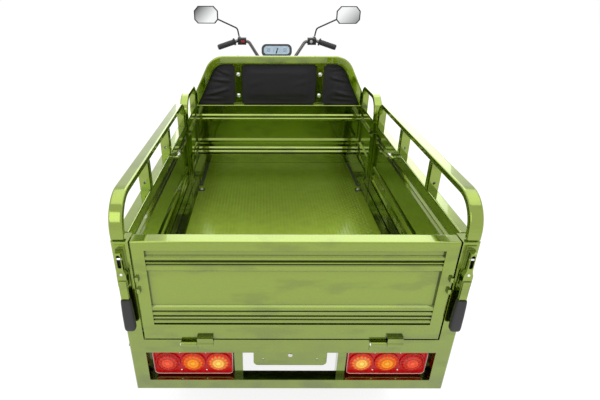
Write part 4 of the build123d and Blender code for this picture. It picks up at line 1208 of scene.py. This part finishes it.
@dataclass
class TailLamps(Assembly):
    """The two rear lamps in the frame below the tailgate.

    Attributes:
        corner: Corner radius of the housing.
        trim: Radius of the pale line round the housing.
        screw: Radius of the lens screws.
        screw_inset: Distance of a screw from the housing's edge and behind its face.
        rim: Thickness of a lens's moulded rim.
    """

    SKINS = {RED_PLASTIC: ("tail_lamp_housings",)}
    # The third colour of each lens is its painted highlight in the middle.
    LENSES = (("tail_lamp_red", RED_LENS, (1.0, 0.10, 0.03)),
              ("tail_lamp_amber", AMBER_LENS, (1.0, 0.36, 0.004)),
              ("tail_lamp_clear", CLEAR_LENS, (1.0, 0.62, 0.10)))
    corner: float = 0.014
    trim: float = 0.0009
    screw: float = 0.0032
    screw_inset: tuple[float, float] = (0.012, 0.0052)
    rim: float = 0.0026

    def fit_out(self) -> None:
        """Dresses the lenses and adds the lamps' rims, trim and screws."""
        rims = Piece("lens_rims", Body.CHASSIS, RED_PLASTIC)
        for node, finish, core in self.LENSES:
            low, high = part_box(node)
            radius = (high[2] - low[2]) / 2
            centre = (high[0] - radius, low[1], (low[2] + high[2]) / 2)
            self.dress(replace(finish, lens=Lens(centre, radius, core)), node)
            for side in SIDES:
                rims.ring((side * centre[0], high[1] - self.rim, centre[2]), BACK, radius, self.rim)
        rims.done()
        self.trim_and_screws()

    def trim_and_screws(self) -> None:
        """The pale line round each housing and the bright screws between the lenses."""
        low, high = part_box("tail_lamp_housings")
        red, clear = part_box("tail_lamp_red"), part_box("tail_lamp_clear")
        radius = (red[1][2] - red[0][2]) / 2
        centre = (red[1][0] + clear[1][0]) / 2 - radius
        half_w, half_h, z = high[0] - centre, (high[2] - low[2]) / 2, (low[2] + high[2]) / 2
        line = Piece("lamp_trim", Body.CHASSIS, ZINC)
        screws = Piece("lamp_screws", Body.CHASSIS, CHROME)
        gap = (red[1][0] - clear[1][0]) / 4
        inset, sunk = self.screw_inset
        for side in SIDES:
            edge = rounded_rectangle(half_w, half_h, self.corner)
            line.tube([(side * centre + x, low[1], z + v) for x, v in edge], self.trim, True, 6)
            for step in (-gap, gap):
                for height in (low[2] + inset, high[2] - inset):
                    at = (side * (centre + step), low[1] + sunk, height)
                    screws.dome(at, BACK, self.screw, self.screw * 0.7)
        line.done()
        screws.done()


@dataclass
class Backrest(Assembly):
    """The driver's backrest on the front wall.

    Attributes:
        strap_x: Distance of a strap from the middle.
        strap_half: Half width of a strap with its tabs.
        strap_face: Distance of a strap's face from the frame's back.
        stud: Radius of the studs.
        stud_heights: Heights of the studs.
        bulge: How far the pad may stand out between the straps.
        folds: Creases of the skin: X and Z of one end, X and Z of the other, half width, height.
    """

    SKINS = {PAINT: ("backrest_frame",)}
    strap_x: float = 0.235
    strap_half: float = 0.032
    strap_face: float = 0.0155
    stud: float = 0.0095
    stud_heights: tuple[float, float] = (1.005, 1.125)
    bulge: float = 0.008
    folds: tuple = (
        (-0.45, 1.00, -0.28, 1.045, 0.010, 0.0075), (-0.41, 1.10, -0.28, 1.085, 0.009, 0.0065),
        (-0.46, 0.985, -0.31, 0.980, 0.009, 0.0055), (-0.38, 1.165, -0.28, 1.12, 0.009, 0.0060),
        (0.46, 0.99, 0.31, 1.03, 0.010, 0.0065), (0.42, 1.08, 0.29, 1.11, 0.009, 0.0065),
        (0.38, 1.16, 0.28, 1.15, 0.009, 0.0050), (0.46, 0.975, 0.30, 0.985, 0.009, 0.0045),
        (-0.17, 1.165, 0.02, 1.172, 0.012, 0.0014), (-0.05, 0.98, 0.16, 0.975, 0.012, 0.0022),
        (-0.19, 1.06, -0.08, 1.09, 0.014, 0.0014), (0.19, 1.09, 0.07, 1.06, 0.014, 0.0014))

    def fit_out(self) -> None:
        """Adds bright round studs on the straps, and the pad."""
        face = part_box("backrest_frame")[0][1] + self.strap_face
        piece = Piece("backrest_studs", Body.CHASSIS, CHROME)
        for side in SIDES:
            for z in self.stud_heights:
                at = (side * self.strap_x, face, z)
                piece.dome(at, BACK, self.stud, self.stud * 0.6)
                piece.ring(at, BACK, self.stud * 1.1, 0.0011, 24)
        piece.done()
        self.pad()

    def pad(self) -> None:
        """The leatherette pad with its piping."""
        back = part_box("backrest_pad")[0][1] + 0.0004
        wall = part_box("front_wall")[1]
        wall_front, wall_top = wall[1] + 0.001, wall[2] + 0.001
        foot, crest = wall_top + 0.012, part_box("backrest_frame")[1][2] - 0.052
        half_w, slope, fade_x, fade_z = 0.466, 0.505, 0.06, 0.05

        def limit(point: Vector) -> Vector:
            """Keeps the skin off the straps, the tube and the wall.

            Args:
                point: A point of the skin.

            Returns:
                The point, moved.
            """
            clear = eased((abs(abs(point.x) - self.strap_x) - self.strap_half) / fade_x)
            clear *= eased((crest - point.z) / fade_z) * eased((point.z - foot) / fade_z)
            clear *= eased((half_w - slope * (point.z - wall_top) - abs(point.x)) / fade_x)
            point.y = max(point.y, back - self.bulge * clear)
            if point.z < wall_top and point.y < wall_front:
                if wall_top - point.z < wall_front - point.y:
                    point.z = wall_top
                else:
                    point.y = wall_front
            return point

        def relief(point: Vector, normal: Vector) -> float:
            """Height of the creases at a point."""
            return sum(self.crease(point, *fold) for fold in self.folds) if abs(normal.y) > 0.6 else 0.0

        pad = SoftPad(self.frame, "backrest_cushion", "backrest_pad", Body.CHASSIS, 0.55, 0.004, 0.013,
                      {0: 0.016, 2: 0.002})
        piece = pad.build(limit, relief)
        pad.pipe("backrest_piping", piece, middle("backrest_pad") + AHEAD * 0.012, UP, 150)

    def crease(self, point: Vector, x0: float, z0: float, x1: float, z1: float, half: float,
               height: float) -> float:
        """Height of one crease at a point.

        Args:
            point: Point of the skin.
            x0: X of one end.
            z0: Z of one end.
            x1: X of the other end.
            z1: Z of the other end.
            half: Half width.
            height: Height at its middle.

        Returns:
            The height there.
        """
        way = Vector((x1 - x0, z1 - z0))
        spot = Vector((point.x - x0, point.z - z0))
        along = spot.dot(way) / way.length_squared
        if along <= 0 or along >= 1:
            return 0.0
        off = (spot - way * along).length / half
        return height * math.sin(math.pi * along) * (math.exp(-off * off) - 0.5 * math.exp(-(off - 1.6) ** 2))


@dataclass
class DriverSeat(Assembly):
    """The seat box, its lid, the battery and the pedal.

    Attributes:
        seams: Places of the sewn channels as shares of the seat's length.
        seam_half: Half width of a sewn channel.
        seam_depth: Depth of a sewn channel.
        crown: How far the cushion may rise above its solid.
        pedal_at: Distance of the pedal pad's middle from the pedal's back and from its top.
        pedal_tilt: Degrees that the pedal's pad leans back.
        pedal_rows: Places of the rubber bars on the pad.
        pedal_bar: Half length, height above the pad's middle and radius of a bar.
    """

    SKINS = {PAINT: ("seat_bucket", "footboard"), BATTERY: ("battery_pack",), ZINC: ("seat_hinge",),
             PLASTIC: ("brake_pedal",)}
    seams: tuple[float, float] = (0.36, 0.68)
    seam_half: float = 0.007
    seam_depth: float = 0.006
    crown: float = 0.016
    pedal_at: tuple[float, float] = (0.0270, 0.0238)
    pedal_tilt: float = 40.0
    pedal_rows: tuple = (-0.021, -0.007, 0.007, 0.021)
    pedal_bar: tuple[float, float, float] = (0.030, 0.0062, 0.0034)

    def fit_out(self) -> None:
        """Adds the cushion and the pedal's rubber bars."""
        self.cushion()
        low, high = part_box("brake_pedal")
        tilt = Matrix.Rotation(math.radians(self.pedal_tilt), 3, "X")
        centre = Vector(((low[0] + high[0]) / 2, low[1] + self.pedal_at[0], high[2] - self.pedal_at[1]))
        half, lift, radius = self.pedal_bar
        piece = Piece("pedal_bars", Body.CHASSIS, RUBBER)
        for row in self.pedal_rows:
            piece.tube([centre + tilt @ Vector((x, row, lift)) for x in (-half, half)], radius, sides=8)
        piece.done()

    def cushion(self) -> None:
        """The crowned seat cushion with two sewn channels and piping."""
        low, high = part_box("seat_cushion")
        seams = [low[1] + share * (high[1] - low[1]) for share in self.seams]

        def limit(point: Vector) -> Vector:
            """Keeps the skin flat on its base and off the wall behind.

            Args:
                point: A point of the skin.

            Returns:
                The point, moved.
            """
            point.z = min(max(point.z, low[2] + 0.0002), high[2] + self.crown)
            point.y = max(point.y, low[1] - 0.004)
            return point

        def relief(point: Vector, normal: Vector) -> float:
            """Depth of the channels at a point.

            Args:
                point: A point of the skin.
                normal: The skin's normal there.

            Returns:
                The depth, as a height below zero.
            """
            if normal.z < 0.3:
                return 0.0
            return -self.seam_depth * sum(math.exp(-((point.y - y) / self.seam_half) ** 2) for y in seams)

        pad = SoftPad(self.frame, "seat_pad", "seat_cushion", Body.SEAT_LID, 0.7, 0.006, 0.022,
                      {0: 0.0, 1: 0.0})
        piece = pad.build(limit, relief)
        centre = Vector((0, (low[1] + high[1]) / 2, low[2] + 0.72 * (high[2] - low[2])))
        pad.pipe("seat_piping", piece, centre, AHEAD, 130)


@dataclass
class FrontEnd(Assembly):
    """Cowl, lamps, fork, handlebar, mirrors and dash.

    Attributes:
        grip_run: Right grip's inner and outer ends on its axis.
        bar_r: Radius of the bore for the handlebar.
        grip_r: Grip radius.
        grip_ribs: Number of ribs on a grip.
        boot: Foot and length of a boot along the steering axis, bore and middle radius, fold depth, folds.
        leg_x: Distance of a fork leg from the middle.
        switch_at: Place of the right switch: X, and the rest from the grip's inner end.
        mirror_nut: Place of the right mirror's nut: X, Y from the grip's inner end, Z from the mirrors' foot.
        dash_at: Middle of the dash face.
        dash_lean: Degrees that the dash leans back.
        dash_lift: Height of the dial's marks above the dash face.
        lamp_at: Middle of the head lamp's front.
        lamp_edge: Half width, half height and corner radius of the head lamp's rim.
        bulb_x: Distance of a head lamp bulb from the middle.
        indicator_at: Middle of the right indicator's front.
        indicator_rings: Radii of the rings on an indicator.
        axle_half: Distance of the axle nuts' washers from the middle.
    """

    SKINS = {PAINT: ("front_cowl", "front_mudguard"), HEAD_GLASS: ("head_lamp",),
             INDICATOR: ("front_indicators",), BLACK_PAINT: ("fork",), BAR_STEEL: ("handlebar",),
             PLASTIC: ("controls", "mirrors", "dash_pod"), MIRROR: ("mirror_glass",),
             SCREEN: ("dash_screen",)}
    BUTTON = ((0.010, 0), (0.010, 0.003), (0.0078, 0.004), (0.0072, 0.006), (0.002, 0.007))
    NEEDLE = ((-0.004, -0.024), (0.001, -0.006), (0.007, 0.012))
    WASHER = ((0.015, 0), (0.015, 0.0012), (0.0145, 0.0016))
    grip_run: tuple = ((0.268, 0.7102, 1.242), (0.392, 0.6642, 1.206))
    bar_r: float = 0.0113
    grip_r: float = 0.0172
    grip_ribs: int = 11
    boot: tuple = (0.149, 0.140, 0.0143, 0.0218, 0.0026, 7)
    leg_x: float = 0.088
    switch_at: tuple = (0.230, -0.0195, -0.002)
    mirror_nut: tuple = (0.255, 0.037, 0.0120)
    dash_at: tuple = (0.0, 0.7282, 1.179)
    dash_lean: float = 35.0
    dash_lift: float = 0.0019
    lamp_at: tuple = (0.0, 0.9985, 0.870)
    lamp_edge: tuple = (0.082, 0.043, 0.032)
    bulb_x: float = 0.039
    indicator_at: tuple = (0.178, 0.9453, 0.8245)
    indicator_rings: tuple = (0.006, 0.0115, 0.017)
    axle_half: float = 0.1085

    def fit_out(self) -> None:
        """Adds the fittings of the front."""
        self.grips()
        self.boots()
        self.switches()
        self.dial()
        self.lamp_parts()
        self.axle_nuts()

    def grips(self) -> None:
        """Ribbed rubber grips with a flange, open where the bar enters."""
        inner, outer = self.grip_run
        length, r = (Vector(outer) - Vector(inner)).length, self.grip_r
        start, end = 0.13 * length, 1.02 * length
        outline = [(self.bar_r, start), (r + 0.0065, start), (r + 0.0065, start + 0.007), (r, start + 0.010)]
        first, last = start + 0.016, end - 0.012
        rise, foot, top = 0.0012, 0.0028, 0.0014
        for index in range(self.grip_ribs):
            at = first + (last - first) * index / (self.grip_ribs - 1)
            outline += [(r, at - foot), (r + rise, at - top), (r + rise, at + top), (r, at + foot)]
        outline += [(r, end - 0.004), (r - 0.003, end), (0.0006, end), (0.0006, end - 0.002),
                    (self.bar_r, end - 0.002)]
        piece = Piece("grip_sleeves", Body.STEERING, RUBBER)
        for side in SIDES:
            at = mirrored(inner, side)
            piece.turning(at, mirrored(outer, side) - at, outline, 28, True)
        piece.done("grips")

    def boots(self) -> None:
        """Soft folded dust boots on the fork legs."""
        foot, length, bore, radius, depth, folds = self.boot
        steps = folds * 8
        waves = [math.cos(2 * math.pi * folds * step / steps) for step in range(steps + 1)]
        outline = [(radius - depth * wave, length * step / steps) for step, wave in enumerate(waves)]
        piece = Piece("fork_bellows", Body.STEERING, RUBBER)
        for side in SIDES:
            at = self.axle() + RIGHT * side * self.leg_x + STEER_UP * foot
            piece.turning(at, STEER_UP, [(bore, 0.0), *outline, (bore, length)], 32, True)
        piece.done("fork_boots")

    def axle(self) -> Vector:
        """The middle of the front axle."""
        return middle("front_rim") * Vector((0, 1, 1))

    def switches(self) -> None:
        """A pale push button on the right housing, a red rocker on the left one and the mirrors' nuts."""
        _, grip_y, grip_z = self.grip_run[0]
        x, y, z = self.switch_at[0], grip_y + self.switch_at[1], grip_z + self.switch_at[2]
        Piece("switch_button", Body.STEERING, PALE_BUTTON).turning((x, y, z), BACK, self.BUTTON).done()
        red = Piece("switch_rocker", Body.STEERING, RED_BUTTON)
        red.slab((-x, y, z), RIGHT, UP, (0.012, 0.007, 0.003), 0.005, 0.0018)
        red.slab((-x + 0.005, y - 0.004, z), RIGHT, UP, (0.005, 0.006, 0.002), 0.0035, 0.0015)
        red.done()
        nuts = Piece("mirror_nuts", Body.STEERING, ZINC)
        x, y, z = self.mirror_nut
        for side in SIDES:
            nuts.nut((side * x, grip_y + y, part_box("mirrors")[0][2] + z), UP, 0.0088, 0.006)
        nuts.done()

    def dial(self) -> None:
        """Tick marks, a needle and plain bars on the dash face."""
        lean = Matrix.Rotation(math.radians(-self.dash_lean), 3, "X")
        piece = Piece("dial_marks", Body.STEERING, INK)

        def spot(x: float, z: float) -> Vector:
            """A point of the dash face."""
            return Vector(self.dash_at) + lean @ Vector((x, -self.dash_lift, z))

        ticks, first, step, drop = 9, 200, 27.5, 0.006
        for index in range(ticks):
            angle = math.radians(first - step * index)
            ends = [spot(r * math.cos(angle), r * math.sin(angle) - drop) for r in (0.021, 0.026)]
            piece.tube(ends, 0.0007, sides=6)
        piece.tube([spot(x, z) for x, z in self.NEEDLE], 0.0038, sides=8)
        piece.turning(spot(0.0, -0.008), lean @ BACK, ((0.004, 0), (0.004, 0.001), (0.001, 0.002)), 16)
        bar_x, bar_half = 0.056, 0.012
        for x in (-bar_x, bar_x):
            for z in (0.010, 0.001, -0.008):
                piece.tube([spot(x - bar_half, z), spot(x + bar_half, z)], 0.0009, sides=6)
        piece.done()

    def lamp_parts(self) -> None:
        """Reflector rims and bulb shields of the head lamp, and rings on the indicators."""
        at = Vector(self.lamp_at)
        rim_wire, bowl, bowl_wire, shield, ring_wire = 0.0022, 0.031, 0.0018, (0.011, 0.004), 0.0011
        chrome = Piece("head_lamp_rims", Body.CHASSIS, CHROME)
        edge = rounded_rectangle(*self.lamp_edge)
        chrome.tube([at + RIGHT * x + STEER_UP * v for x, v in edge], rim_wire, True, 8)
        rings = Piece("indicator_rings", Body.CHASSIS, INDICATOR)
        for side in SIDES:
            bulb = at + RIGHT * side * self.bulb_x
            chrome.ring(bulb, STEER_AHEAD, bowl, bowl_wire)
            chrome.dome(bulb, STEER_AHEAD, *shield)
            for radius in self.indicator_rings:
                rings.ring(mirrored(self.indicator_at, side), STEER_AHEAD, radius, ring_wire, 28)
        chrome.done()
        rings.done()

    def axle_nuts(self) -> None:
        """Nuts with washers on the front axle outside the fork legs."""
        piece = Piece("front_axle_nuts", Body.STEERING, ZINC)
        for side in SIDES:
            out = RIGHT * side
            at = self.axle() + out * self.axle_half
            piece.turning(at, out, self.WASHER)
            piece.nut(at + out * self.WASHER[1][1], out, 0.0125, 0.0066)
        piece.done()


@dataclass
class RunningGear(Assembly):
    """Chassis, axle, springs, motor and wheels.

    Attributes:
        blocks: Tread blocks round a tyre.
        block_steps: Mesh steps of each block.
        groove: Depth of the tread.
        groove_at: Place and half width of the circling grooves as shares of the tyre's width.
        bead_gap: Height of the rim's flange above the tyre's bead.
        bead_height: Height of the bead's straight side.
        rail_x: Distance of a spring from the middle.
        nut_circle: Radius of the wheel nuts' circle.
        hub_inset: Distance of the hub's face inside the rim's outer side.
        valve_at: Place of a valve's foot from the hub: inward, forward and up.
        u_bolt: Half width, bend radius and wire radius of a spring's U-bolt.
        u_bolt_y: Distance of a U-bolt from the axle.
        u_bolt_z: Heights above the axle of a U-bolt's top, its plate and its ends.
    """

    SKINS = {BLACK_PAINT: ("chassis_frame",), CAST_IRON: ("rear_axle",), ALUMINIUM: ("drive_motor",),
             SPRING: ("leaf_springs",), PLASTIC: ("rear_mudguards",),
             RIM: ("front_rim", "rear_rim_right", "rear_rim_left")}
    VALVE = ((0.005, 0), (0.0045, 0.018), (0.003, 0.019), (0.003, 0.026), (0.001, 0.027))
    blocks: int = 40
    block_steps: int = 6
    groove: float = 0.0045
    groove_at: tuple[float, float] = (0.12, 0.017)
    bead_gap: float = 0.0107
    bead_height: float = 0.013
    rail_x: float = 0.290
    nut_circle: float = 0.0365
    hub_inset: float = 0.012
    valve_at: tuple = (0.016, 0.138, 0.02)
    u_bolt: tuple = (0.0355, 0.010, 0.0048)
    u_bolt_y: float = 0.0365
    u_bolt_z: tuple = (0.0735, -0.0365, -0.046)

    def fit_out(self) -> None:
        """Makes the tyres and adds the wheels' and springs' fastenings."""
        self.tyre("front_tyre", Body.FRONT_WHEEL, 0.0267)
        self.tyre("rear_tyre_right", Body.REAR_RIGHT, 0.0327)
        self.tyre("rear_tyre_left", Body.REAR_LEFT, 0.0327)
        self.wheel_nuts(1, Body.REAR_RIGHT, "rear_rim_right")
        self.wheel_nuts(-1, Body.REAR_LEFT, "rear_rim_left")
        self.spring_bolts()

    def tyre(self, node: str, body: Body, bead_half: float) -> None:
        """A tyre with circling grooves and staggered blocks.

        Args:
            node: Frame node that it stands for.
            body: The wheel's body.
            bead_half: Half the width between its beads.
        """
        low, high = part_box(node)
        centre, width, radius = middle(node), high[0] - low[0], (high[2] - low[2]) / 2
        rim_low, rim_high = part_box("front_rim")
        bead_r = (rim_high[2] - rim_low[2]) / 2 - self.bead_gap
        wall, shoulder, edge_r = bead_r + self.bead_height, 0.40 * width, radius - 0.11 * width
        half = (wall + edge_r) / 2
        right = arc((bead_half, wall), (width / 2, half), (shoulder, edge_r), 9)
        crown = arc((shoulder, edge_r), (0, radius), (-shoulder, edge_r), 34)
        left = arc((-shoulder, edge_r), (-width / 2, half), (-bead_half, wall), 9)
        profile = right[:-1] + crown + left[1:] + [(-bead_half, bead_r), (bead_half, bead_r)]
        rings = []
        for turn, angle in enumerate(round_angles(self.blocks * self.block_steps)):
            ring = []
            for x, r in profile:
                if r > edge_r - 0.0001:
                    r -= self.groove * self.cut(x / width, turn)
                ring.append(centre + Vector((x, r * math.cos(angle), r * math.sin(angle))))
            rings.append(ring)
        Piece(node + "_treaded", body, TYRE).skin(rings, True).done(node)

    def cut(self, share: float, turn: int) -> float:
        """How deep the tread is cut at a place.

        Args:
            share: Place across the tyre as a share of its width.
            turn: Step round the tyre.

        Returns:
            0 on a block and up to 1 in a groove.
        """
        place, half = self.groove_at
        if abs(abs(share) - place) < half:
            return 1.0
        stagger = self.block_steps // 2 if share > 0 else 0
        return 0.9 if abs(share) > place + half and (turn + stagger) % self.block_steps == 0 else 0.0

    def wheel_nuts(self, side: int, body: Body, node: str) -> None:
        """Wheel nuts round the hub and the tyre valve of a rear wheel.

        Args:
            side: 1 for the right wheel, -1 for the left.
            body: The wheel's body.
            node: The wheel's rim.
        """
        low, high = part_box(node)
        hub = middle(node)
        hub.x = side * (max(abs(low[0]), abs(high[0])) - self.hub_inset)
        nuts = Piece(node + "_nuts", body, ZINC)
        for angle in round_angles(5):
            at = hub + self.nut_circle * Vector((0, math.cos(angle), math.sin(angle)))
            nuts.bolt(at, RIGHT * side, 0.0062)
        nuts.done()
        inward, ahead, up = self.valve_at
        at = hub + Vector((-side * inward, ahead, up))
        Piece(node + "_valve", body, RUBBER).turning(at, (side * 1.0, -0.7, 0), self.VALVE, 12).done()

    def spring_bolts(self) -> None:
        """U-bolts and clamp plates that hold the springs on the axle."""
        axle = middle("rear_tyre_right")
        bolts = Piece("spring_u_bolts", Body.CHASSIS, ZINC)
        plates = Piece("spring_plates", Body.CHASSIS, BLACK_PAINT)
        half, bend, wire = self.u_bolt
        top, under, foot = [axle.z + height for height in self.u_bolt_z]
        angles = (0, 0.5, 1.05, 1.57)
        turn = [(half - bend * (1 - math.cos(a)), top - bend * (1 - math.sin(a))) for a in angles]
        line = [(half, foot)] + turn + [(-u, v) for u, v in reversed(turn)] + [(-half, foot)]
        for side in SIDES:
            x = side * self.rail_x
            for y in (axle.y - self.u_bolt_y, axle.y + self.u_bolt_y):
                bolts.tube([(x + u, y, v) for u, v in line], wire)
                for leg in (-half, half):
                    bolts.nut((x + leg, y, under), -UP, 0.0085, 0.006)
            plates.slab((x, axle.y, under), RIGHT, AHEAD, (0.046, 0.048, 0.006), 0.008, 0.001)
        bolts.done()
        plates.done()


@dataclass
class Studio:
    """Floor, light and camera.

    Attributes:
        camera_at: Camera position.
        pitch: Degrees that the camera looks down.
        roll: Degrees that it leans.
        lens: Focal length in millimetres on a 36 mm sensor.
        shift: Sideways shift of the picture.
        reach: Furthest that the camera sees.
        floor_size: Width of the floor.
        floor_glow: Brightness of the floor as a backdrop.
        sky: Brightness of the world as a light.
        shadow: Share of the shadow that the camera sees on the floor.
        lights: Name, place, aim, size and power of each soft lamp.
    """

    camera_at: tuple[float, float, float] = (-0.091, -2.3735, 1.602)
    pitch: float = 26.96
    roll: float = -0.12
    lens: float = 25.81
    shift: float = 0.0607
    reach: float = 200.0
    floor_size: float = 80.0
    floor_glow: float = 1.27
    sky: float = 0.6
    shadow: float = 0.35
    lights: list = field(default_factory=lambda: [
        ("overhead", (0.3, -0.2, 4.4), (0.0, -0.2, 0.0), 4.6, 64.0),
        ("ahead", (0.7, 5.0, 4.6), (0.0, -0.8, 0.8), 5.5, 120.0),
        ("behind", (-2.4, -4.6, 3.0), (0.0, -1.0, 0.6), 2.2, 22.0),
    ])

    def build(self) -> None:
        """Makes the stage, the lights and the camera."""
        self.stage()
        self.world()
        self.light()
        self.camera()

    def seen(self, graph: Graph) -> Socket:
        """1 for rays that show the backdrop to the camera, straight or by way of gloss and glass.

        Args:
            graph: Graph to add to.

        Returns:
            The socket that tells.
        """
        ray = graph.add("LightPath").outputs
        gloss = graph.math("MAXIMUM", ray["Is Glossy Ray"], ray["Is Transmission Ray"])
        return graph.math("MAXIMUM", ray["Is Camera Ray"], gloss)

    def stage(self) -> None:
        """A plain pale floor that keeps a soft shadow."""
        bpy.ops.mesh.primitive_plane_add(size=self.floor_size)
        floor = bpy.context.object
        floor.name = "floor"
        material = bpy.data.materials.new("floor_white")
        graph = cleared(material)
        matt = graph.add("BsdfDiffuse", {"Color": (0.9, 0.9, 0.9, 1.0)})
        white = graph.add("Emission", {"Color": (1, 1, 1, 1), "Strength": self.floor_glow})
        share = graph.math("MULTIPLY", self.seen(graph), 1.0 - self.shadow)
        mixed = graph.add("MixShader", {0: share, 1: matt.outputs[0], 2: white.outputs[0]})
        graph.add("OutputMaterial", {"Surface": mixed.outputs[0]})
        floor.data.materials.append(material)

    def world(self) -> None:
        """A white world, dimmer as a light than it looks."""
        world = bpy.context.scene.world or bpy.data.worlds.new("World")
        bpy.context.scene.world = world
        graph = cleared(world)
        level = graph.ramp(self.seen(graph), 0.0, 1.0, self.sky, 1.0)
        sky = graph.add("Background", {"Color": (1, 1, 1, 1), "Strength": level})
        graph.add("OutputWorld", {"Surface": sky.outputs[0]})

    def light(self) -> None:
        """Large soft lamps above, ahead of and behind the vehicle."""
        for name, at, target, size, power in self.lights:
            data = bpy.data.lights.new(name, "AREA")
            data.energy, data.size = power, size
            lamp = place_object(name, data)
            lamp.location = at
            lamp.rotation_euler = (Vector(target) - Vector(at)).to_track_quat("-Z", "Y").to_euler()

    def camera(self) -> None:
        """The photo's viewpoint."""
        data = bpy.data.cameras.new("camera")
        data.lens, data.shift_x, data.clip_end = self.lens, self.shift, self.reach
        camera = place_object("camera", data)
        camera.location = self.camera_at
        camera.rotation_euler = (math.radians(90 - self.pitch), math.radians(self.roll), 0.0)
        bpy.context.scene.camera = camera
        bpy.context.scene.view_settings.view_transform = "Standard"


def main() -> None:
    """Builds the scene."""
    logging.basicConfig(level=logging.INFO, format="%(message)s")
    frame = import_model()
    for assembly in (LoadBox, TailLamps, Backrest, DriverSeat, FrontEnd, RunningGear):
        assembly(frame).build()
    Studio().build()


if __name__ == "__main__":
    main()
